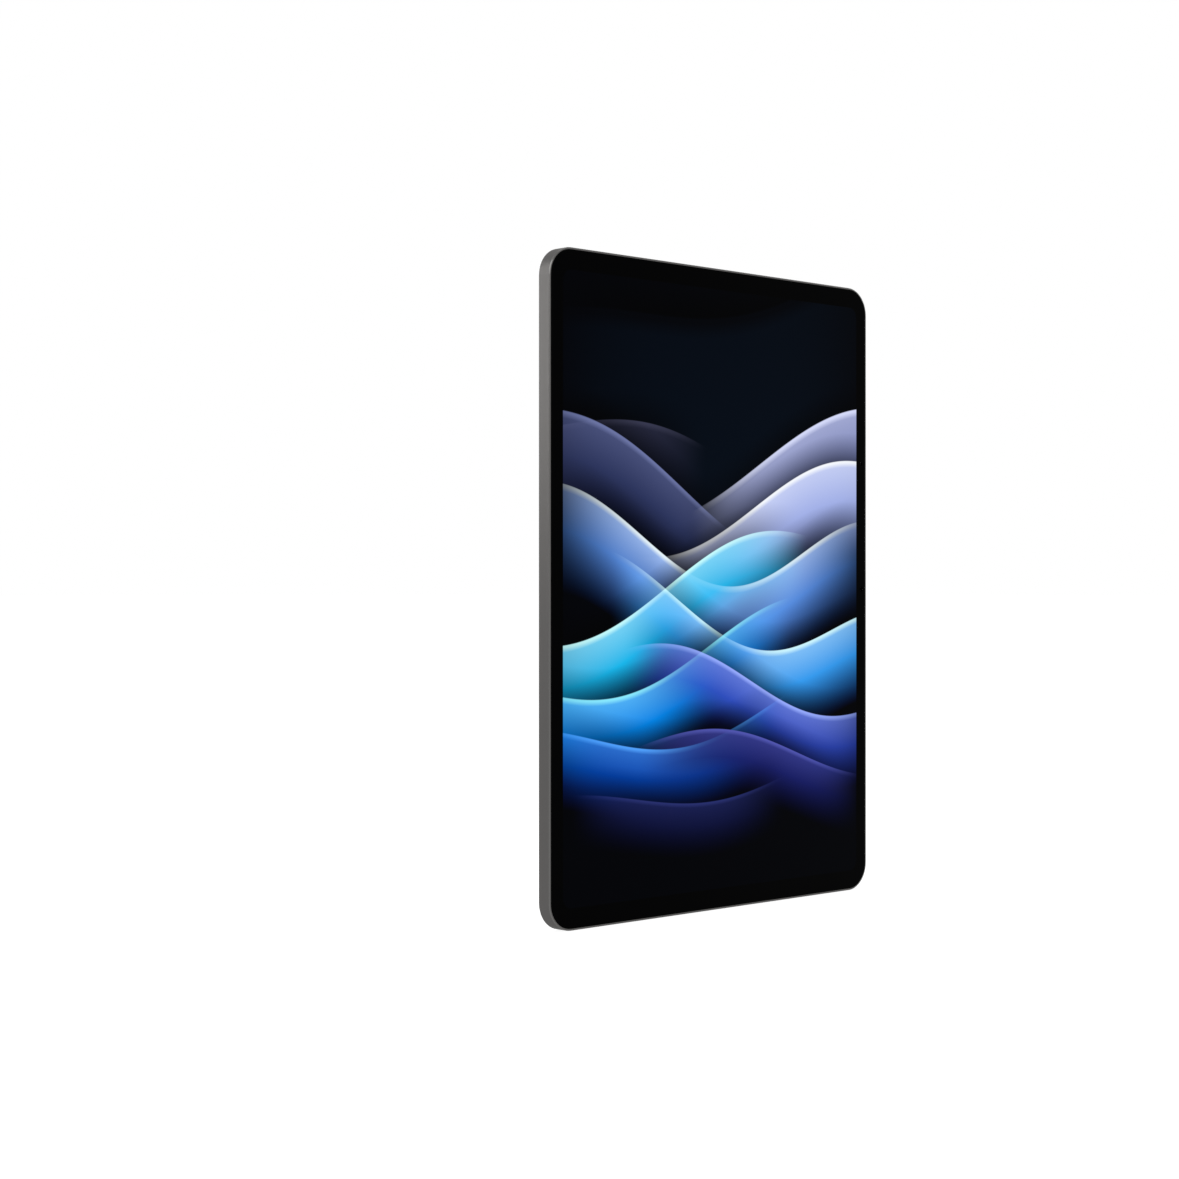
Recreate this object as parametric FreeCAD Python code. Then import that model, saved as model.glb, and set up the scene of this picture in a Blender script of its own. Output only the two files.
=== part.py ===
import FreeCAD, Part
import math
import os

# A 12-inch tablet computer with a one-piece aluminium housing, in millimetres.
# It stands upright: X runs across the front, Y from the cover glass (-) to the back (+), and Z
# up the long side. The origin is at the middle of the bottom edge, half way through the body.

V = FreeCAD.Vector

# ---- Driving dimensions ----

# Housing
width = 192.0
height = 266.4
thickness = 6.6
corner_radius = 11.5
side_wall = 2.4
back_wall = 0.9
front_chamfer = 0.3
back_chamfer = 0.5
rim_width = 0.75          # metal left showing round the glass
glass_proud = 0.1         # height of the glass above the metal rim
edge_line_inset = 3.1     # from the back face to the line that the buttons and ports sit on
rib_width = 1.2
rib_height = 1.5
pad_size = 3.8            # square pads under the circuit boards
pad_height = 0.5
screw_floor = 0.45        # metal left under a screw hole

# Cover glass and display
glass_thickness = 0.7
glass_bevel = 0.15
glass_gap = 0.06          # round the glass, in its pocket
gasket_thickness = 0.2
gasket_inset = 0.15
lcd_border = 1.0          # sealed edge round the picture
lcd_side_gap = 0.3        # from the panel to the front camera
lcd_end_gap = 0.3         # from the panel to the USB-C socket
lcd_thickness = 0.9
lcd_corner = 5.6
backlight_thickness = 0.85
tray_sheet = 0.2
tray_inset = 0.15
tray_gap = 0.05
display_clearance = 0.1   # free space behind the display
film = 0.1                # flexible circuits
film_width = 14.0
film_offset = 17.0
film_bend = 0.35
driver_board_width = 96.0
driver_board_height = 7.0
driver_board_thickness = 0.4
driver_board_rise = 12.3  # above the panel's lower edge
cable_width = 2.6

# Rear camera
camera_gap = 1.73         # from the ring to the button brackets
ring_clearance = 0.29     # from the ring to the corner of the autofocus housing
ring_band = 0.55
ring_raise = 1.4
ring_chamfer = 0.3
ring_shoulder = 0.9
plate_thickness = 0.8
plate_recess = 0.12
fit_gap = 0.05            # between pieces that are pressed or glued together
lens_radius = 5.65
lens_gap = 1.6            # between the two bezels
lens_offset_x = 3.7       # lens line, from the ring's centre towards the edge
lens_proud = 0.3
lens_depth = 1.5
lens_chamfer = 0.2
lens_band = 0.9
lens_window_recess = 0.12
lens_window_thickness = 0.6
lens_window_seat = 0.8
flash_window_radius = 2.2
flash_window_recess = 0.1
flash_led_size = 2.4
flash_led_thickness = 0.25
flash_board_size = 7.6
flash_board_thickness = 0.4
module_size = 10.4
barrel_radius = 3.3
barrel_height = 1.7
barrel_clearance = 0.06
barrel_stop = 0.5
barrel_dish = 0.4
barrel_seat_gap = 0.02
barrel_travel = 0.3
front_element_radius = 2.1
sensor_board_size = 11.0
sensor_board_thickness = 0.4
sensor_chip_size = 6.0
sensor_chip_thickness = 0.5

# Front camera and light sensor, in the bezel on the +X side
front_camera_inset = 3.65
front_module_width = 4.2
front_module_length = 6.0
front_module_depth = 3.2
front_lens_radius = 0.85
front_lens_thickness = 0.3
light_sensor_rise = 55.6  # above the front camera
light_sensor_width = 2.0
light_sensor_length = 2.8
light_sensor_thickness = 0.8

# Volume rocker on the +X edge, and power button on the top edge
rocker_length = 19.1
rocker_inset_z = 30.95    # rocker centre, from the top edge
power_length = 12.0
power_corner_gap = 0.8    # from the power button's bracket to the round corner
button_width = 2.3
button_proud = 0.4
button_chamfer = 0.25
button_gap = 0.15
button_lip = 0.65         # retaining lip beyond the slot, each side
button_lip_thickness = 0.5
button_lip_gap = 0.2      # from the lip to the inside of the wall
rocker_lip_length = 6.0
rocker_post_offset = 6.2
pivot_radius = 0.45
pivot_gap = 0.06
post_size = 1.4
post_length = 0.5
dome_size = 2.8
dome_top_size = 1.4
dome_margin = 0.1
dome_rise = 0.32
dome_gap = 0.03
button_film = 0.12
bracket_sheet = 0.5
bracket_foot = 2.2
bracket_foot_gap = 1.0

# USB-C socket in the bottom edge
usb_mouth_width = 8.34
usb_mouth_height = 2.56
usb_wall = 0.3
usb_length = 7.0
usb_recess = 0.4
usb_back = 0.6
usb_gap = 0.1
tongue_width = 6.7
tongue_thickness = 0.7
tongue_recess = 0.9
usb_bracket_sheet = 0.25
usb_bracket_width = 3.2
usb_bracket_ear = 4.4
usb_board_height = 20.0
usb_board_side_gap = 1.0  # to the lower loudspeakers
usb_board_gap = 0.1

# Loudspeakers, two behind the top edge and two behind the bottom edge
speaker_ring_gap = 3.9    # from the camera ring to the loudspeaker beside it
speaker_width = 30.0
speaker_height = 16.0
spout_depth = 2.0
speaker_cone_width = 22.0
speaker_cone_height = 10.0
speaker_cone_depth = 0.4
speaker_hole_length = 11.2
speaker_hole_width = 1.2
speaker_hole_pitch = 12.8
speaker_hole_count = 2
mesh_thickness = 0.15
mesh_margin = 0.9
speaker_gasket_depth = 0.6
speaker_gasket_band = 0.36

# Circuit boards and battery
board_thickness = 0.7
board_side_gap = 4.9      # from the camera ring to the board
board_left_gap = 31.6     # from the inside of the -X wall to the board
board_top_gap = 0.4       # from the upper speakers to the board
board_height = 47.8
board_neck_side_gap = 5.0 # from the loudspeakers to the neck between them
board_neck_gap = 6.0      # from the neck to the inside of the top wall
board_hole_radius = 0.75
screw_inset = 3.8
screw_radius = 0.55
screw_hole_radius = 0.6
screw_head_radius = 1.3
screw_head_height = 0.4
can_width = 44.0
can_height = 30.0
can_clearance = 0.55      # in front of the cans and their graphite
can_sheet = 0.15
can_gap = 4.0
chip_size = 14.0
small_chip_size = 11.0
chip_clearance = 0.25     # under the can's lid
hall_size = 3.8
hall_thickness = 0.6
hall_drop = 10.0          # below the neck's top
graphite_thickness = 0.05
cell_gap = 5.0
cell_side_gap = 9.1       # from the cells to the long walls
cell_low_gap = 5.5        # from the small board to the cells
cell_top_gap = 6.55       # from the bay's upper rib to the main board
cell_front_gap = 0.25     # room for the cells to swell
battery_tape = 0.1
tape_width = 20.0
tape_inset = 10.0
battery_board_height = 4.0
battery_board_thickness = 0.8
battery_board_gap = 0.3
connector_length = 6.0
camera_cable_width = 2.1

# Stylus charging window on the +X edge
stylus_drop = 44.15       # below the middle of the edge
stylus_window_length = 20.9
stylus_window_width = 3.0
stylus_window_depth = 1.4
stylus_gap = 0.04
stylus_lip = 0.7
coil_thickness = 0.9
coil_gap = 0.03
coil_winding = 0.3
coil_band = 0.8
magnet_length = 15.0
magnet_width = 2.2
magnet_thickness = 1.8
magnet_gap = 4.05         # from the window to a magnet beside it

# Keyboard contacts on the back near the -X edge, microphones and aerials
contact_inset = 7.4
contact_width = 2.6
contact_length = 3.6
contact_pitch = 7.0
contact_count = 3
contact_sink = 0.1
contact_base_width = 4.4
contact_base_thickness = 0.9
contact_base_margin = 3.0
keyboard_magnet_offset = 32.0
keyboard_magnet_gap = 6.3 # from an aerial to the magnet beside it
mic_insets = (74.2, 102.2)   # from the top edge
mic_hole_radius = 0.4
mic_length = 3.6
mic_width = 2.6
mic_thickness = 1.0
mic_gasket = 0.4
mic_gasket_length = 2.4
aerial_length = 34.0
aerial_width = 2.2
aerial_thickness = 1.4
aerial_inset_z = 30.4     # aerial centre, from the top and bottom edges

# ---- Levels and places worked out from the dimensions ----

half = width / 2
mid_z = height / 2
cavity_half = half - side_wall
cavity_low = side_wall
cavity_high = height - side_wall

y_glass = -thickness / 2                       # front of the glass
y_back = thickness / 2
y_edge = y_back - edge_line_inset              # middle line of the edges' openings
y_rim = y_glass + glass_proud
y_glass_back = y_glass + glass_thickness
y_seat = y_glass_back + gasket_thickness       # ledge that carries the gasket
y_lcd_back = y_glass_back + lcd_thickness
y_light_back = y_lcd_back + backlight_thickness
y_display = y_light_back + tray_sheet          # back of the display
y_free = y_display + display_clearance         # front of the space for everything else
y_floor = y_back - back_wall                   # inside of the back wall
y_board_back = y_floor - pad_height
y_board = y_board_back - board_thickness
y_can = y_free + can_clearance + graphite_thickness

front_camera_x = half - front_camera_inset
front_camera_z = mid_z
light_sensor_z = front_camera_z + light_sensor_rise
side_bezel = front_camera_inset + front_module_width / 2 + lcd_side_gap + lcd_border
end_bezel = usb_recess + usb_length + lcd_end_gap + lcd_border
lcd_half_width = half - side_bezel + lcd_border
lcd_half_height = mid_z - end_bezel + lcd_border
lcd_low = mid_z - lcd_half_height
driver_board_z = lcd_low + driver_board_rise

# Distances inward from the inside of a wall to the layers behind a button
lip_outer = button_lip_gap
lip_inner = lip_outer + button_lip_thickness
post_tip = lip_inner + post_length
film_front = post_tip + dome_gap + dome_rise
film_rear = film_front + button_film
bracket_rear = film_rear + bracket_sheet
bracket_width = dome_size + 2 * dome_margin
rocker_z = height - rocker_inset_z
power_x = half - corner_radius - power_corner_gap - bracket_foot - bracket_foot_gap - power_length / 2

lens_pitch = 2 * lens_radius + lens_gap
ring_inner = ring_clearance + math.hypot(lens_offset_x + module_size / 2, (lens_pitch + module_size) / 2)
ring_radius = ring_inner + ring_shoulder + ring_band
camera_x = cavity_half - bracket_rear - camera_gap - ring_radius
camera_z = cavity_high - bracket_rear - camera_gap - ring_radius
lens_x = camera_x + lens_offset_x
lens_z = camera_z + lens_pitch / 2
flash_z = camera_z - lens_pitch / 2
y_ring_top = y_back + ring_raise
y_plate = y_ring_top - plate_recess
y_plate_back = y_plate - plate_thickness
y_lens_top = y_plate + lens_proud
y_lens_back = y_lens_top - lens_depth
y_module_back = y_free + display_clearance + sensor_board_thickness
y_module_top = y_lens_back - fit_gap
y_barrel = y_module_top - barrel_height - barrel_travel - barrel_seat_gap

ring_left = camera_x - ring_radius
speaker_offset = ring_left - speaker_ring_gap - speaker_width / 2
speaker_inner = speaker_offset - speaker_width / 2
gasket_far = mesh_thickness + speaker_gasket_depth
grille_length = speaker_hole_pitch * (speaker_hole_count - 1) + speaker_hole_length

board_right = ring_left - board_side_gap
board_left = -cavity_half + board_left_gap
board_top = cavity_high - gasket_far - speaker_height - board_top_gap
board_bottom = board_top - board_height
board_neck = speaker_inner - board_neck_side_gap
board_neck_top = cavity_high - board_neck_gap
usb_board_half = speaker_inner - usb_board_side_gap
usb_board_low = usb_recess + usb_length + usb_board_gap
usb_board_high = usb_board_low + usb_board_height

bay_top = board_bottom - cell_top_gap
cell_z = (usb_board_high + cell_low_gap, bay_top - rib_width - battery_board_height - battery_board_gap)
cell_x = (cell_gap / 2, cavity_half - cell_side_gap)
cell_y = (y_free + cell_front_gap, y_floor - battery_tape)

stylus_window_z = mid_z - stylus_drop
mic_heights = tuple(height - inset for inset in mic_insets)
contact_x = -half + contact_inset


# ---- Shapes ----

def at(axis, u, v, w):
    """The point at w along the axis and (u, v) across it, taken in X, Y, Z order."""
    if axis == "x":
        return V(w, u, v)
    if axis == "y":
        return V(u, w, v)
    return V(u, v, w)


def span(centre, length):
    """Low and high ends of a length about its centre."""
    return centre - length / 2, centre + length / 2


def outline(axis, u, v, w, radius):
    """Closed wire of a rectangle with round corners, across the axis at w."""
    r = min(radius, (u[1] - u[0]) / 2, (v[1] - v[0]) / 2)
    corners = [(u[1] - r, v[1] - r), (u[0] + r, v[1] - r), (u[0] + r, v[0] + r), (u[1] - r, v[0] + r)]

    def on(corner, quarter_turns):
        turn = quarter_turns * math.pi / 2
        return at(axis, corner[0] + r * math.cos(turn), corner[1] + r * math.sin(turn), w)

    edges = []
    for i, corner in enumerate(corners):
        if r > 0:
            edges.append(Part.Arc(on(corner, i), on(corner, i + 0.5), on(corner, i + 1)).toShape())
        here = on(corner, i + 1)
        there = on(corners[(i + 1) % 4], i + 1)
        if here.distanceToPoint(there) > 1e-6:
            edges.append(Part.LineSegment(here, there).toShape())
    return Part.Wire(edges)


def prism(axis, u, v, w, radius=0.0):
    """Bar along the axis from w[0] to w[1], with the round-cornered rectangle u by v as section."""
    return Part.Face(outline(axis, u, v, w[0], radius)).extrude(at(axis, 0, 0, w[1] - w[0]))


def hollow(axis, u, v, w, band, radius=0.0):
    """The same bar with a hole along it that leaves a wall of the given band."""
    inner_u = (u[0] + band, u[1] - band)
    inner_v = (v[0] + band, v[1] - band)
    return prism(axis, u, v, w, radius).cut(prism(axis, inner_u, inner_v, w, max(radius - band, 0)))


def rod(axis, u, v, w, radius):
    """Cylinder along the axis from w[0] to w[1]."""
    return Part.makeCylinder(radius, w[1] - w[0], at(axis, u, v, w[0]), at(axis, 0, 0, 1))


def turned(x, z, profile):
    """Solid turned about the line through (x, z) along Y, from (radius, y) points."""
    points = [V(x + r, y, z) for r, y in profile]
    face = Part.Face(Part.makePolygon(points + points[:1]))
    return face.revolve(V(x, 0, z), V(0, 1, 0), 360)


def snap_dome(axis, u, v, base):
    """Square snap disc with sloped sides, rising along the axis to its small flat top."""
    foot = outline(axis, span(u, dome_size), span(v, dome_size), base, 0)
    top = outline(axis, span(u, dome_top_size), span(v, dome_top_size), base + dome_rise, 0)
    return Part.makeLoft([foot, top], True, True)


def edges_at_y(shape, y):
    """Edges that lie wholly at one Y."""
    return [e for e in shape.Edges if all(abs(p.Y - y) < 1e-4 for p in e.Vertexes)]


def edges_across(shape, axis, w):
    """Edges that lie wholly at w along the axis."""
    direction = at(axis, 0, 0, 1)
    return [e for e in shape.Edges if all(abs(p.Point.dot(direction) - w) < 1e-4 for p in e.Vertexes)]


def mirrored(shape):
    """The shape on the other side of the plane X = 0."""
    return shape.mirror(V(0, 0, 0), V(1, 0, 0))


def save(name, *solids):
    """Writes one node: a solid, or a group of like solids."""
    shape = solids[0] if len(solids) == 1 else Part.makeCompound(list(solids))
    shape.exportStep("parts/" + name + ".step")


# ---- Places that several pieces share ----

def board_pad_places():
    """(x, z) of the pads under the main board's four corners."""
    return [(x, z) for x in (board_left + screw_inset, board_right - screw_inset)
            for z in (board_bottom + screw_inset, board_top - screw_inset)]


def board_screw_places():
    """(x, z) of the main board's screws, in two opposite corners."""
    pads = board_pad_places()
    return pads[0], pads[3]


def usb_pad_places():
    """(x, z) of the pads under the small board's upper corners."""
    x = usb_board_half - screw_inset
    return [(-x, usb_board_high - screw_inset), (x, usb_board_high - screw_inset)]


def speaker_places():
    """(centre x, z of the inside of the wall, direction of the wall from the speaker)."""
    return [(x, z, way) for z, way in ((cavity_high, 1), (cavity_low, -1))
            for x in (-speaker_offset, speaker_offset)]


def inward(z, way, near, far):
    """(low, high) Z of a layer that lies from near to far inside a top or bottom wall at z."""
    return tuple(sorted((z - way * near, z - way * far)))


def contact_zs():
    """Heights of the keyboard contacts."""
    first = mid_z - contact_pitch * (contact_count - 1) / 2
    return [first + i * contact_pitch for i in range(contact_count)]


slot_width = button_width + 2 * button_gap
stylus_window_y = span(y_edge, stylus_window_width)
usb_mouth_y = span(y_edge, usb_mouth_height)
usb_shell_y = span(y_edge, usb_mouth_height + 2 * usb_wall)
usb_shell_x = span(0, usb_mouth_width + 2 * usb_wall)
usb_shell_z = (usb_recess, usb_recess + usb_length)
usb_ear_x = usb_shell_x[1] + usb_bracket_ear / 2
usb_ear_z = (cavity_low + usb_gap, cavity_low + usb_gap + usb_bracket_width)


# ---- Housing ----

def rear_housing():
    """Tray milled from one block: outer walls, glass pocket, ledge, ribs, pads and openings."""
    body = prism("y", (-half, half), (0, height), (y_rim, y_back), corner_radius)
    body = body.makeChamfer(back_chamfer, edges_at_y(body, y_back))
    body = body.makeChamfer(front_chamfer, edges_at_y(body, y_rim))
    inside = (-cavity_half, cavity_half)
    cavity_z = (cavity_low, cavity_high)
    cavity = prism("y", inside, cavity_z, (y_seat, y_floor), corner_radius - side_wall)
    pocket_x = (-half + rim_width, half - rim_width)
    pocket_z = (rim_width, height - rim_width)
    pocket = prism("y", pocket_x, pocket_z, (y_rim - glass_proud, y_seat), corner_radius - rim_width)
    body = body.cut([cavity, pocket])
    return body.fuse(inner_ribs() + inner_pads()).cut(openings())


def inner_ribs():
    """Ribs that frame the battery bay and stiffen the back wall."""
    rib_y = (y_floor - rib_height, y_floor)
    inner = cell_x[1] + battery_board_gap
    low = cell_z[0] - battery_board_gap
    ribs = []
    for side in (-1, 1):
        upright = tuple(sorted((side * inner, side * (inner + rib_width))))
        level = tuple(sorted((side * (cell_gap / 2 + cable_width), side * (inner + rib_width))))
        ribs.append(prism("y", upright, (low, bay_top), rib_y))
        ribs.append(prism("y", level, (low - rib_width, low), rib_y))
        ribs.append(prism("y", level, (bay_top - rib_width, bay_top), rib_y))
    return ribs


def inner_pads():
    """Square pads under the circuit boards, and taller ones under the USB bracket's ears."""
    places = board_pad_places() + usb_pad_places()
    low_y = (y_board_back, y_floor)
    pads = [prism("y", span(x, pad_size), span(z, pad_size), low_y) for x, z in places]
    for side in (-1, 1):
        pads.append(prism("y", span(side * usb_ear_x, usb_bracket_ear), usb_ear_z, (y_edge, y_floor)))
    return pads


def openings():
    """Everything cut through the walls."""
    cuts = [rod("y", camera_x, camera_z, (y_floor - 1, y_back + 1), ring_radius + fit_gap)]
    through_x = (cavity_half - 1, half + 1)
    slot_y = span(y_edge, slot_width)
    slot_z = span(rocker_z, rocker_length + 2 * button_gap)
    cuts.append(prism("x", slot_y, slot_z, through_x, slot_width / 2))
    slot_x = span(power_x, power_length + 2 * button_gap)
    cuts.append(prism("z", slot_x, slot_y, (cavity_high - 1, height + 1), slot_width / 2))
    cuts += [rod("x", y_edge, z, through_x, mic_hole_radius) for z in mic_heights]
    cuts += stylus_openings()
    socket_x = span(0, usb_mouth_width + 2 * usb_wall + 2 * usb_gap)
    socket_y = span(y_edge, usb_mouth_height + 2 * usb_wall + 2 * usb_gap)
    socket_radius = usb_mouth_height / 2 + usb_wall + usb_gap
    cuts.append(prism("z", socket_x, socket_y, (-1, cavity_low + 1), socket_radius))
    cuts += speaker_holes()
    through_back = (y_floor - 1, y_back + 1)
    cuts += [contact_pad(z, through_back, fit_gap) for z in contact_zs()]
    screw_y = (y_board_back - 1, y_back - screw_floor)
    cuts += [rod("y", x, z, screw_y, screw_hole_radius) for x, z in board_screw_places()]
    pocket = (cavity_half - 1, front_camera_x + front_module_width / 2 + fit_gap)
    module_z = span(front_camera_z, front_module_length + 2 * fit_gap)
    cuts.append(prism("y", pocket, module_z, (y_seat - 1, y_glass_back + front_module_depth + fit_gap)))
    return cuts


def stylus_openings():
    """Stepped slot for the charging window: full size outside, narrower inside its lip."""
    wide_y = (stylus_window_y[0] - stylus_gap, stylus_window_y[1] + stylus_gap)
    wide_z = span(stylus_window_z, stylus_window_length + 2 * stylus_gap)
    depth = half - stylus_window_depth
    wide = prism("x", wide_y, wide_z, (depth, half + 1), stylus_window_width / 2 + stylus_gap)
    narrow_y = span(y_edge, stylus_window_width - stylus_lip)
    narrow_z = span(stylus_window_z, stylus_window_length - stylus_lip)
    radius = (stylus_window_width - stylus_lip) / 2
    return [wide, prism("x", narrow_y, narrow_z, (cavity_half - 1, depth + 0.5), radius)]


def speaker_holes():
    """Rows of round-ended holes in the top and bottom edges."""
    holes = []
    for centre, wall, way in speaker_places():
        z = tuple(sorted((wall - way, wall + way * (side_wall + 1))))
        first = centre - speaker_hole_pitch * (speaker_hole_count - 1) / 2
        for i in range(speaker_hole_count):
            x = span(first + i * speaker_hole_pitch, speaker_hole_length)
            holes.append(prism("z", x, span(y_edge, speaker_hole_width), z, speaker_hole_width / 2))
    return holes


# ---- Cover glass and display ----

def cover_glass():
    """Flat glass with bevelled edges that fills the pocket in the rim."""
    inset = rim_width + glass_gap
    x = (-half + inset, half - inset)
    glass = prism("y", x, (inset, height - inset), (y_glass, y_glass_back), corner_radius - inset)
    return glass.makeChamfer(glass_bevel, edges_at_y(glass, y_glass))


def glass_gasket():
    """Closed loop of adhesive foam on the ledge, notched round the front camera."""
    inset = rim_width + gasket_inset
    x = (-half + inset, half - inset)
    loop_y = (y_glass_back, y_seat)
    band = side_wall - inset
    loop = hollow("y", x, (inset, height - inset), loop_y, band, corner_radius - inset)
    module_z = span(front_camera_z, front_module_length + 2 * fit_gap)
    notch = prism("y", (cavity_half - 1, half - rim_width - gasket_inset - band / 4), module_z, loop_y)
    return loop.cut(notch)


def lcd_panel():
    """Liquid crystal cell, bonded to the glass."""
    x = (-lcd_half_width, lcd_half_width)
    return prism("y", x, span(mid_z, 2 * lcd_half_height), (y_glass_back, y_lcd_back), lcd_corner)


def tray_size():
    """Half width and half height of the display tray, outside."""
    return lcd_half_width - tray_inset, lcd_half_height - tray_inset


def backlight_unit():
    """Light guide and diffuser films, inside the display tray."""
    inset = tray_sheet + tray_gap
    half_x, half_z = (size - inset for size in tray_size())
    return prism("y", (-half_x, half_x), span(mid_z, 2 * half_z), (y_lcd_back, y_light_back))


def display_tray():
    """Thin steel tray with upturned edges that closes the back of the display."""
    half_x, half_z = tray_size()
    x = (-half_x, half_x)
    z = span(mid_z, 2 * half_z)
    floor = prism("y", x, z, (y_light_back, y_display))
    return floor.fuse(hollow("y", x, z, (y_lcd_back, y_light_back), tray_sheet))


def display_films():
    """Two driver films, folded from the panel's lower edge on to the driver board."""
    films = []
    low = lcd_low - film_bend
    y_tab = y_lcd_back - lcd_thickness / 2
    for side in (-1, 1):
        x = span(side * film_offset, film_width)
        back = prism("y", x, (low, driver_board_z), (y_display, y_display + film))
        fold = prism("y", x, (low, low + film), (y_tab, y_display))
        tab = prism("y", x, (low, lcd_low), (y_tab - film, y_tab))
        films.append(back.fuse([fold, tab]))
    return films


def display_driver_board():
    """Narrow circuit board on the back of the display."""
    z = (driver_board_z, driver_board_z + driver_board_height)
    y = (y_display, y_display + driver_board_thickness)
    return prism("y", span(0, driver_board_width), z, y)


def display_cable():
    """Flat cable from the driver board up between the battery cells to the main board."""
    x = span(0, cable_width)
    start = driver_board_z + driver_board_height
    flat = prism("y", x, (start, board_bottom + connector_length), (y_display, y_display + film))
    z = (board_bottom, board_bottom + connector_length)
    return flat.fuse(prism("y", x, z, (y_display + film, y_board)))


# ---- Rear camera ----

def rear_camera_ring():
    """Raised metal ring glued into the back wall, with a shoulder inside for the plate."""
    return turned(camera_x, camera_z, [
        (ring_inner, y_floor), (ring_radius, y_floor),
        (ring_radius, y_ring_top - ring_chamfer), (ring_radius - ring_chamfer / 2, y_ring_top),
        (ring_radius - ring_band, y_ring_top), (ring_radius - ring_band, y_plate_back),
        (ring_inner, y_plate_back)])


def rear_camera_plate():
    """Round metal plate inside the ring, with a hole for each lens bezel."""
    radius = ring_radius - ring_band - fit_gap
    plate = rod("y", camera_x, camera_z, (y_plate_back, y_plate), radius)
    through = (y_plate_back - 1, y_plate + 1)
    return plate.cut([rod("y", lens_x, z, through, lens_radius + fit_gap) for z in (lens_z, flash_z)])


def bezel_profile(bore):
    """Outside of a lens bezel, from its bore at the bottom to its chamfered top."""
    return [
        (bore, y_lens_back), (lens_radius, y_lens_back),
        (lens_radius, y_lens_top - lens_chamfer), (lens_radius - lens_chamfer, y_lens_top)]


def camera_lens_bezel():
    """Black ring round the camera window, with a seat for it."""
    window = lens_radius - lens_band
    seat_y = y_lens_top - lens_window_recess - lens_window_thickness
    seat = window - lens_window_seat
    return turned(lens_x, lens_z, bezel_profile(seat) + [
        (window, y_lens_top), (window, seat_y), (seat, seat_y)])


def camera_window():
    """Flat sapphire window over the camera."""
    top = y_lens_top - lens_window_recess
    radius = lens_radius - lens_band - fit_gap
    return rod("y", lens_x, lens_z, (top - lens_window_thickness, top), radius)


def flash_bezel():
    """Black disc that matches the camera's, with a small hole for the flash window."""
    return turned(lens_x, flash_z, bezel_profile(flash_window_radius) + [
        (flash_window_radius, y_lens_top)])


def flash_window():
    """Clear plug in the flash bezel, with the light emitter behind it."""
    base = y_lens_back + flash_led_thickness + fit_gap
    top = y_lens_top - flash_window_recess
    return rod("y", lens_x, flash_z, (base, top), flash_window_radius - fit_gap)


def flash_led():
    """Square light emitter on the flash board."""
    y = (y_lens_back, y_lens_back + flash_led_thickness)
    return prism("y", span(lens_x, flash_led_size), span(flash_z, flash_led_size), y)


def flash_board():
    """Small circuit board glued to the underside of the flash bezel."""
    y = (y_lens_back - flash_board_thickness, y_lens_back)
    return prism("y", span(lens_x, flash_board_size), span(flash_z, flash_board_size), y)


def rear_camera_housing():
    """Square autofocus housing with the stepped bore that the lens barrel slides in."""
    y = (y_module_back, y_module_top)
    block = prism("y", span(lens_x, module_size), span(lens_z, module_size), y)
    top = (y_barrel - barrel_seat_gap, y_module_top + 1)
    bore = rod("y", lens_x, lens_z, top, barrel_radius + barrel_clearance)
    throat = rod("y", lens_x, lens_z, (y_module_back - 1, y_barrel), barrel_radius - barrel_stop)
    chip = sensor_chip_size + 2 * fit_gap
    room_y = (y_module_back - 1, y_module_back + sensor_chip_thickness + fit_gap)
    room = prism("y", span(lens_x, chip), span(lens_z, chip), room_y)
    return block.cut([bore, throat, room])


def rear_lens_barrel():
    """Lens barrel with a funnel-shaped front, which the autofocus slides along Y."""
    top = y_barrel + barrel_height
    return turned(lens_x, lens_z, [
        (0, y_barrel), (barrel_radius, y_barrel), (barrel_radius, top),
        (front_element_radius, top), (0, top - barrel_dish)])


def image_sensor_board():
    """Circuit board of the camera, with the image sensor on it."""
    x = span(lens_x, sensor_board_size)
    y = (y_module_back - sensor_board_thickness, y_module_back)
    board = prism("y", x, span(lens_z, sensor_board_size), y)
    chip_y = (y_module_back, y_module_back + sensor_chip_thickness)
    chip = prism("y", span(lens_x, sensor_chip_size), span(lens_z, sensor_chip_size), chip_y)
    return board.fuse(chip)


def camera_cable():
    """Flat cable from the camera's board to the main board, stepped down to its face."""
    low = lens_z - sensor_board_size / 2
    z = (low, low + camera_cable_width)
    y0 = y_module_back - sensor_board_thickness
    step_x = board_right + film_bend
    run = prism("y", (step_x, lens_x - sensor_board_size / 2), z, (y0, y0 + film))
    step = prism("y", (step_x, step_x + film), z, (y0, y_board))
    tail = prism("y", (board_right - connector_length, step_x + film), z, (y_board - film, y_board))
    return run.fuse([step, tail])


# ---- Front camera and light sensor ----

def front_camera_module():
    """Small fixed camera that looks through the bezel, with a round well for its lens."""
    x = span(front_camera_x, front_module_width)
    y = (y_glass_back, y_glass_back + front_module_depth)
    body = prism("y", x, span(front_camera_z, front_module_length), y)
    well_y = (y_glass_back, y_glass_back + front_lens_thickness)
    well = rod("y", front_camera_x, front_camera_z, well_y, front_lens_radius)
    return body.cut(well)


def front_camera_lens():
    """Front lens of the small camera, sunk in its face."""
    radius = front_lens_radius - fit_gap
    y = (y_glass_back + fit_gap, y_glass_back + front_lens_thickness)
    return rod("y", front_camera_x, front_camera_z, y, radius)


def light_sensor():
    """Ambient light sensor, glued to the back of the glass."""
    y = (y_glass_back, y_glass_back + light_sensor_thickness)
    return prism("y", span(front_camera_x, light_sensor_width), span(light_sensor_z, light_sensor_length), y)


# ---- Buttons ----

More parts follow.
